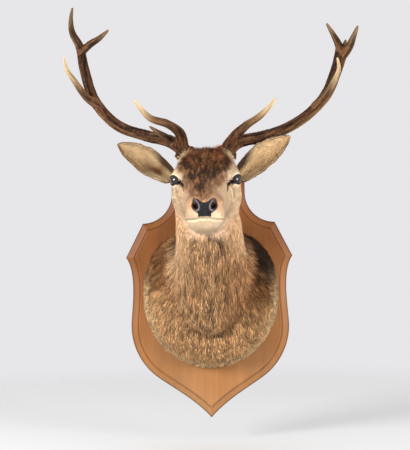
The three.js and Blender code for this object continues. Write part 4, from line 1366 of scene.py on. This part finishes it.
class Branch:
    """A beam or tine: even samples along it, each with its frame, radius and looks."""

    def __init__(self, name, path, radii):
        line = spline(path)
        run = np.append(0, np.cumsum(np.linalg.norm(np.diff(line, axis=0), axis=1)))
        self.length = run[-1]
        count = int(self.length / ANTLER_SAMPLE) + 2
        self.along = np.linspace(0, self.length, count)
        self.centre = np.stack([np.interp(self.along, run, line[:, axis]) for axis in range(3)], -1)
        self.radius = graph(np.linspace(0, 1, len(radii)), radii)(self.along / self.length)
        self.tangent = unit(np.gradient(self.centre, axis=0))
        self.aside = square_to(np.array([0, 1, 0.3]), self.tangent)
        self.other = np.cross(self.tangent, self.aside)
        self.blunt = self.radius[-1] > BLUNT
        self.to_tip = self.length - self.along + self.blunt * self.length
        self.is_beam = np.full(count, name == "beam")
        self.polish = np.tile(POLISH.get(name, OTHER_POLISH), (count, 1))

    def tube(self):
        """The branch as a closed tube with a rounded tip."""
        turn = even_turns(TUBE_SIDES)
        rounding = (0.3 if self.blunt else 1.2) * self.radius[-1]
        radius = self.radius * np.sqrt(np.clip((self.length - self.along) / rounding, 0.02, 1))
        spread = (np.cos(turn)[None, :, None] * self.aside[:, None]
                  + np.sin(turn)[None, :, None] * self.other[:, None])
        return self.centre[:, None] + spread * radius[:, None, None]


def coronet(beam):
    """The knobbly collar round the foot of an antler."""
    i = int(np.argmin(np.abs(beam.along - BURR["along"])))
    turn = even_turns(96)
    knobs = 1 + 0.1 * np.sin(11 * turn + 0.8 * np.sin(3 * turn)) + 0.05 * np.sin(27 * turn)
    spread = np.cos(turn)[:, None] * beam.aside[i] + np.sin(turn)[:, None] * beam.other[i]
    rows = []
    for share, level in BURR_PROFILE:
        reach = share * BURR["radius"] * (knobs if share > 0.7 else np.ones(len(turn)))
        rows.append(beam.centre[i] + spread * reach[:, None] + beam.tangent[i] * level * BURR["height"])
    return np.stack(rows)


def fused(name, grids):
    """One closed mesh from overlapping closed grids, remeshed finely and smoothed."""
    points, faces, first = [], [], 0
    for grid in grids:
        made, _ = grid_faces(*grid.shape[:2])
        faces += [kind + first for kind in made]
        points.append(closed_points(grid))
        first += len(points[-1])
    carrier = in_scene(name, new_mesh(name, np.concatenate(points), faces))
    remesh = carrier.modifiers.new("fuse", "REMESH")
    remesh.mode = "VOXEL"
    remesh.voxel_size = ANTLER_VOXEL * MM
    smoothing = carrier.modifiers.new("fillet", "SMOOTH")
    smoothing.factor = 0.5
    smoothing.iterations = 5
    evaluated = carrier.evaluated_get(bpy.context.evaluated_depsgraph_get())
    made = evaluated.to_mesh()
    places, normals = (np.empty(len(made.vertices) * 3, np.float32) for _ in range(2))
    made.vertices.foreach_get("co", places)
    made.vertices.foreach_get("normal", normals)
    quads = np.empty(len(made.loops), np.int32)
    made.loops.foreach_get("vertex_index", quads)
    evaluated.to_mesh_clear()
    bpy.data.objects.remove(carrier)
    return places.reshape(-1, 3) / MM, normals.reshape(-1, 3), quads.reshape(-1, 4)


def build_antler(side, plans):
    """An antler: its branches fused, with grooves, pearls and a burr, dark and worn paler where it rubs, and
    a painted golden highlight under its beam.
    """
    branches = [Branch(name, *plan) for name, plan in plans.items()]
    points, normals, quads = fused("antler_" + side, [b.tube() for b in branches] + [coronet(branches[0])])
    keys = ("centre", "tangent", "aside", "other", "radius", "along", "to_tip", "is_beam", "polish")
    samples = {key: np.concatenate([getattr(b, key) for b in branches]) for key in keys}
    nearest = nearest_of(points, samples["centre"])
    near = {key: values[nearest] for key, values in samples.items()}
    radius, to_tip, is_beam = near["radius"], near["to_tip"], near["is_beam"]
    away = points - near["centre"]
    turn = np.arctan2(dot(away, near["other"]), dot(away, near["aside"]))
    along = near["along"] + dot(away, near["tangent"])
    from_foot = np.where(is_beam, along, OFF_FOOT)
    round_place = np.stack([np.cos(turn) * radius, np.sin(turn) * radius, along / 9], -1)
    grooves = rough_noise(round_place, 4.2, 71)
    pearls = np.maximum(rough_noise(points, 4.6, 72), 0)
    strength = smooth(8, 110, to_tip)
    knobby = 0.35 + 0.65 * smooth(420, 60, from_foot) * is_beam
    collar = bump(from_foot - BURR["along"], 13)
    rise = strength * (RELIEF["grooves"] * grooves + RELIEF["pearls"] * knobby * pearls)
    rise += RELIEF["burr"] * collar * rough_noise(points, 5.5, 73)

    worn = np.clip(0.5 + 0.75 * grooves + 0.5 * pearls, 0, 1)
    upper_shade = 1 - 0.4 * smooth(260, 420, from_foot) * is_beam
    # a painted highlight: the beam's downward-facing side painted golden
    gold_highlight = smooth(120, 300, from_foot) * is_beam * smooth(0.1, -0.6, normals[:, 2]) * 0.5
    polish, reach = near["polish"].T
    colour = layered(
        mixed(HORN_DARK, HORN_BROWN, worn ** 1.8) * upper_shade[:, None],
        (HORN_HIGHLIGHT_GOLD, gold_highlight * (0.1 + 0.9 * worn)),
        (HORN_TAN, (0.1 + polish) * smooth(80 + reach, 40, to_tip) * (0.3 + 0.7 * worn)),
        (HORN_PALE, polish * smooth(reach, 12, to_tip) * (0.4 + 0.6 * worn)),
        (HORN_FOOT, 0.5 * collar))
    nodes = [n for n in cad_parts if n.endswith("_" + side) and ("beam" in n or "tine" in n)]
    points = points + normals * rise[:, None]
    new_piece("antler_" + side, points, [quads], ANTLER, colour, replaced=nodes)


# ---------------------------------------------------------------- board

# Up the left side from the tip, each curve bends towards two points on its way to the third. Above them are
# a straight edge to the shoulder, a concave quarter of a circle and a short upright.
BOARD = dict(
    tip=(0, -333),
    curves=[((46, -281), (105, -251.5), (145, -221)), ((182.5, -192), (209.5, -143.5), (209.5, -89)),
            ((209.5, -51), (190, 50), (221, 95))],
    shoulder=(175, 185), hollow=78, neck=292, crest=((74, 297.3), (35.5, 310), (0, 330)))
# The board's edge in section: distance in from the outline, and forward from the wall.
BOARD_PROFILE = [
    (6, 0), (1.2, 0), (0, 1.2), (0, 12.4), (0.5, 13.6), (1.6, 14.3), (4, 15.2), (8, 17.2), (12, 19.4),
    (15, 20.9), (17.6, 21.8), (18.4, 21.2), (19.6, 21.2), (20.4, 22.2), (20.7, 23.4), (21.4, 23.9),
    (22.4, 24),
]
CURVE_STEPS = 26
STRAIGHT_STEPS = 16
MITRE = 0.35  # a corner's point moves in by at most the distance over this
TAKEN_UP = 0.05  # a point nearer the outline than the distance, by more than this, is taken up by a corner
SHARP_EDGE = math.radians(32)


def bezier(start, one, two, end):
    t = np.linspace(0, 1, CURVE_STEPS, endpoint=False)[:, None]
    start, one, two, end = (np.array(p, float) for p in (start, one, two, end))
    return (1 - t) ** 3 * start + 3 * t * (1 - t) ** 2 * one + 3 * t * t * (1 - t) * two + t ** 3 * end


def both_sides(half):
    """The outline's left half, from its foot to its top, and its mirror image back down."""
    return np.concatenate([half, (half * [-1, 1])[-2:0:-1]])


def board_outline():
    starts = [BOARD["tip"]] + [curve[-1] for curve in BOARD["curves"]]
    shoulder, hollow = np.array(BOARD["shoulder"], float), BOARD["hollow"]
    bend = np.linspace(-math.pi / 2, -math.pi, CURVE_STEPS)
    straight = np.linspace(0, 1, STRAIGHT_STEPS, endpoint=False)
    quarter = shoulder + [0, hollow] + hollow * np.stack([np.cos(bend), np.sin(bend)], 1)
    return both_sides(np.concatenate([
        *(bezier(start, *curve) for start, curve in zip(starts, BOARD["curves"])),
        mixed(np.array(starts[-1], float), shoulder, straight),
        quarter,
        bezier((shoulder[0] - hollow, BOARD["neck"]), *BOARD["crest"]),
        [BOARD["crest"][-1]]]))


def quarter_turned(vectors):
    return np.stack([-vectors[:, 1], vectors[:, 0]], 1)


def inset(outline, distance):
    """The outline drawn in by a distance, its corners mitred, and the points they take up moved to them."""
    run = np.roll(outline, -1, 0) - outline
    before, after = unit(outline - np.roll(outline, 1, 0)), unit(run)
    inward = unit(quarter_turned(before + after))
    moved = outline + inward * (distance / np.maximum(dot(inward, quarter_turned(after)), MITRE))[:, None]
    away = moved[:, None] - outline[None]
    share = np.clip(dot(away, run) / dot(run, run), 0, 1)
    clearance = np.linalg.norm(away - share[..., None] * run, axis=-1).min(1)
    kept = np.flatnonzero(clearance > distance - TAKEN_UP)
    index = np.arange(len(outline))
    apart = np.abs(index[:, None] - kept[None])
    return moved[kept[np.minimum(apart, len(outline) - apart).argmin(1)]]


WOOD = [(0, srgb(104, 54, 19)), (0.5, srgb(142, 93, 52)), (1, srgb(152, 112, 74))]
BOARD_FADE = (0.26, -0.3)  # metres: between these heights the wood grows paler
BOARD_DEPTH = 0.025  # metres
# How dark the wood is made at shares of the way from the front of the board back to the wall: darker about
# the moulding's groove, and over the outer edge and the sides.
DEPTH_DARKENING = [(0, 1), (0.09, 1), (0.125, 0.78), (0.16, 0.8), (0.18, 1.06), (0.38, 1), (0.44, 0.36), (1, 0.5)]


def ramp(material, value, stops):
    """The colours of the stops, from the first at 0 to the last at 1, picked by a value."""
    node = add_node(material, "ValToRGB", Fac=value)
    for place, _ in stops[1:-1]:
        node.color_ramp.elements.new(place)
    for element, (_, colour) in zip(node.color_ramp.elements, stops):
        element.color = (*colour, 1)
    return node.outputs["Color"]


def board_material():
    """Varnished wood with an upright grain, paler towards the foot."""
    material, shader = new_material("varnished wood", Roughness=0.5, Specular_IOR_Level=0.12,
                                    Coat_Weight=0.06, Coat_Roughness=0.3)
    bands = grain(material, (16, 16, 1.1), 5.0, Distortion=0.6)
    fibres = grain(material, (420, 420, 9), 6.0)
    blotches = grain(material, (7, 7, 5), 3.0)
    axes = add_node(material, "SeparateXYZ", i0=object_place(material)).outputs
    falling = ranged(material, axes["Z"], *BOARD_FADE, 0.0, 0.75)
    patched = add_node(material, "Math", {"operation": "MULTIPLY_ADD"}, i0=blotches, i1=0.7, i2=falling)
    level = add_node(material, "Math", {"operation": "SUBTRACT"}, i0=patched.outputs[0], i1=0.3)
    banded = tinted(material, ramp(material, level.outputs[0], WOOD), bands, 0.62, 1.34)
    grained = tinted(material, banded, fibres, 0.74, 1.24)
    depth = ranged(material, axes["Y"], -BOARD_DEPTH, 0.0, 0.0, 1.0)
    depth_darkening = ramp(material, depth, [(place, (shade, shade, shade)) for place, shade in DEPTH_DARKENING])
    plug(material, shader, Base_Color=multiplied(material, grained, depth_darkening),
         Normal=raised(material, 0.3, 0.0004, fibres))
    return material


def board_ring(outline, distance, forward):
    """The board's outline drawn in and brought forward, its height rising all the way up each side."""
    half = inset(outline, distance)[:len(outline) // 2 + 1]
    half[:, 1] = np.maximum.accumulate(half[:, 1])
    line = both_sides(half)
    return np.stack([line[:, 0], np.full(len(line), -forward), line[:, 1]], -1)


def build_board():
    """The board: rings from the wall to its front, and strips from side to side over its back and face."""
    outline = board_outline()
    rows = [board_ring(outline, distance, forward) for distance, forward in BOARD_PROFILE]
    mesh = bmesh.new()
    rings = [[mesh.verts.new(Vector(point) * MM) for point in row] for row in rows]
    for lower, upper in zip(rings, rings[1:]):
        for i in range(len(lower)):
            j = (i + 1) % len(lower)
            mesh.faces.new([lower[i], lower[j], upper[j], upper[i]])
    for ring, step in ((rings[-1], 1), (rings[0], -1)):
        for i in range(len(ring) // 2):
            rung = [ring[i], ring[i + 1], ring[-i - 1], ring[-i]]
            mesh.faces.new(list(dict.fromkeys(rung))[::step])
    bmesh.ops.remove_doubles(mesh, verts=mesh.verts, dist=2e-5)
    bmesh.ops.recalc_face_normals(mesh, faces=mesh.faces)
    made = bpy.data.meshes.new("shield_board")
    mesh.to_mesh(made)
    mesh.free()
    made.materials.append(board_material())
    made.shade_smooth()
    made.set_sharp_from_angle(angle=SHARP_EDGE)
    depths = np.array([vertex.co.y for vertex in made.vertices])
    for polygon in made.polygons:
        polygon.use_smooth = bool(np.ptp(depths[list(polygon.vertices)]) > 1e-6)
    new_object("shield_board", made, ["board"])


# ---------------------------------------------------------------- stage

# The stage is in metres and degrees. half_view is half the height that the camera sees a metre away, and
# sensor is in millimetres.
CAMERA = dict(place=(0.050, -3.600, 0.179), turn=0.955, roll=-0.9, half_view=0.1667925, sensor=36)
LIGHTS = {
    "key": dict(place=(-2.5, -2.5, 0.9), target=(0, -0.3, 0.1), size=1.4, power=155),
    "fill": dict(place=(2.5, -2.3, 0.4), target=(0, -0.2, 0.1), size=1.8, power=95),
}
BACKGROUND = (0.80, 0.79, 0.81, 1)
ROOM_LIGHT = (0.96, 0.97, 1.0, 1)
ROOM_STRENGTH = 0.9
FLOOR_COLOUR = (0.645, 0.64, 0.63, 1)
FLOOR_HEIGHT = -0.40
FLOOR_RADIUS = 2.0
FLOOR_SOLID = 0.55  # the share of the radius inside which the floor is solid


def build_camera():
    data = bpy.data.cameras.new("camera")
    data.sensor_width = CAMERA["sensor"]
    data.lens = CAMERA["sensor"] / 2 / CAMERA["half_view"]
    camera = in_scene("camera", data)
    camera.location = CAMERA["place"]
    camera.rotation_mode = "XYZ"
    level = Euler((math.radians(90), 0, math.radians(CAMERA["turn"])))
    rolled = level.to_matrix() @ Matrix.Rotation(math.radians(CAMERA["roll"]), 3, "Z")
    camera.rotation_euler = rolled.to_euler()
    bpy.context.scene.camera = camera


def build_light(name, place, target, size, power):
    data = bpy.data.lights.new(name, "AREA")
    data.shape = "DISK"
    data.size = size
    data.energy = power
    light = in_scene(name, data)
    light.location = place
    light.rotation_euler = (Vector(target) - Vector(place)).to_track_quat("-Z", "Y").to_euler()


def build_world():
    world = bpy.data.worlds.new("studio")
    bpy.context.scene.world = world
    world.use_nodes = True
    shown = world.node_tree.nodes["Background"]
    shown.inputs["Color"].default_value = BACKGROUND
    lighting = add_node(world, "Background", Color=ROOM_LIGHT, Strength=ROOM_STRENGTH)
    seen = add_node(world, "LightPath").outputs["Is Camera Ray"]
    either = add_node(world, "MixShader", i0=seen, i1=lighting.outputs[0], i2=shown.outputs[0])
    plug(world, world.node_tree.nodes["World Output"], Surface=either.outputs[0])


def build_floor():
    """A pale floor that fades out into the background at its edge."""
    mesh = bmesh.new()
    bmesh.ops.create_circle(mesh, cap_ends=True, radius=FLOOR_RADIUS, segments=96)
    made = bpy.data.meshes.new("floor")
    mesh.to_mesh(made)
    mesh.free()
    material, shader = new_material("pale floor", Base_Color=FLOOR_COLOUR, Roughness=0.9)
    place = object_place(material)
    far = add_node(material, "VectorMath", {"operation": "LENGTH"}, i0=place).outputs["Value"]
    plug(material, shader, Alpha=ranged(material, far, FLOOR_RADIUS, FLOOR_RADIUS * FLOOR_SOLID, 0.0, 1.0))
    made.materials.append(material)
    floor = in_scene("floor", made)
    floor.location = (0, 0, FLOOR_HEIGHT)


# ---------------------------------------------------------------- the scene

build_camera()
build_world()
build_floor()
for name, plan in LIGHTS.items():
    build_light(name, **plan)
bpy.context.scene.view_settings.view_transform = "Standard"

build_board()
build_skin()
build_nose()
for eye in EYES:
    eye.build_ball()
    eye.build_rim()
build_coat()
for name, plan in EARS.items():
    build_ear(name, plan)
for side, plans in ANTLERS.items():
    build_antler(side, plans)
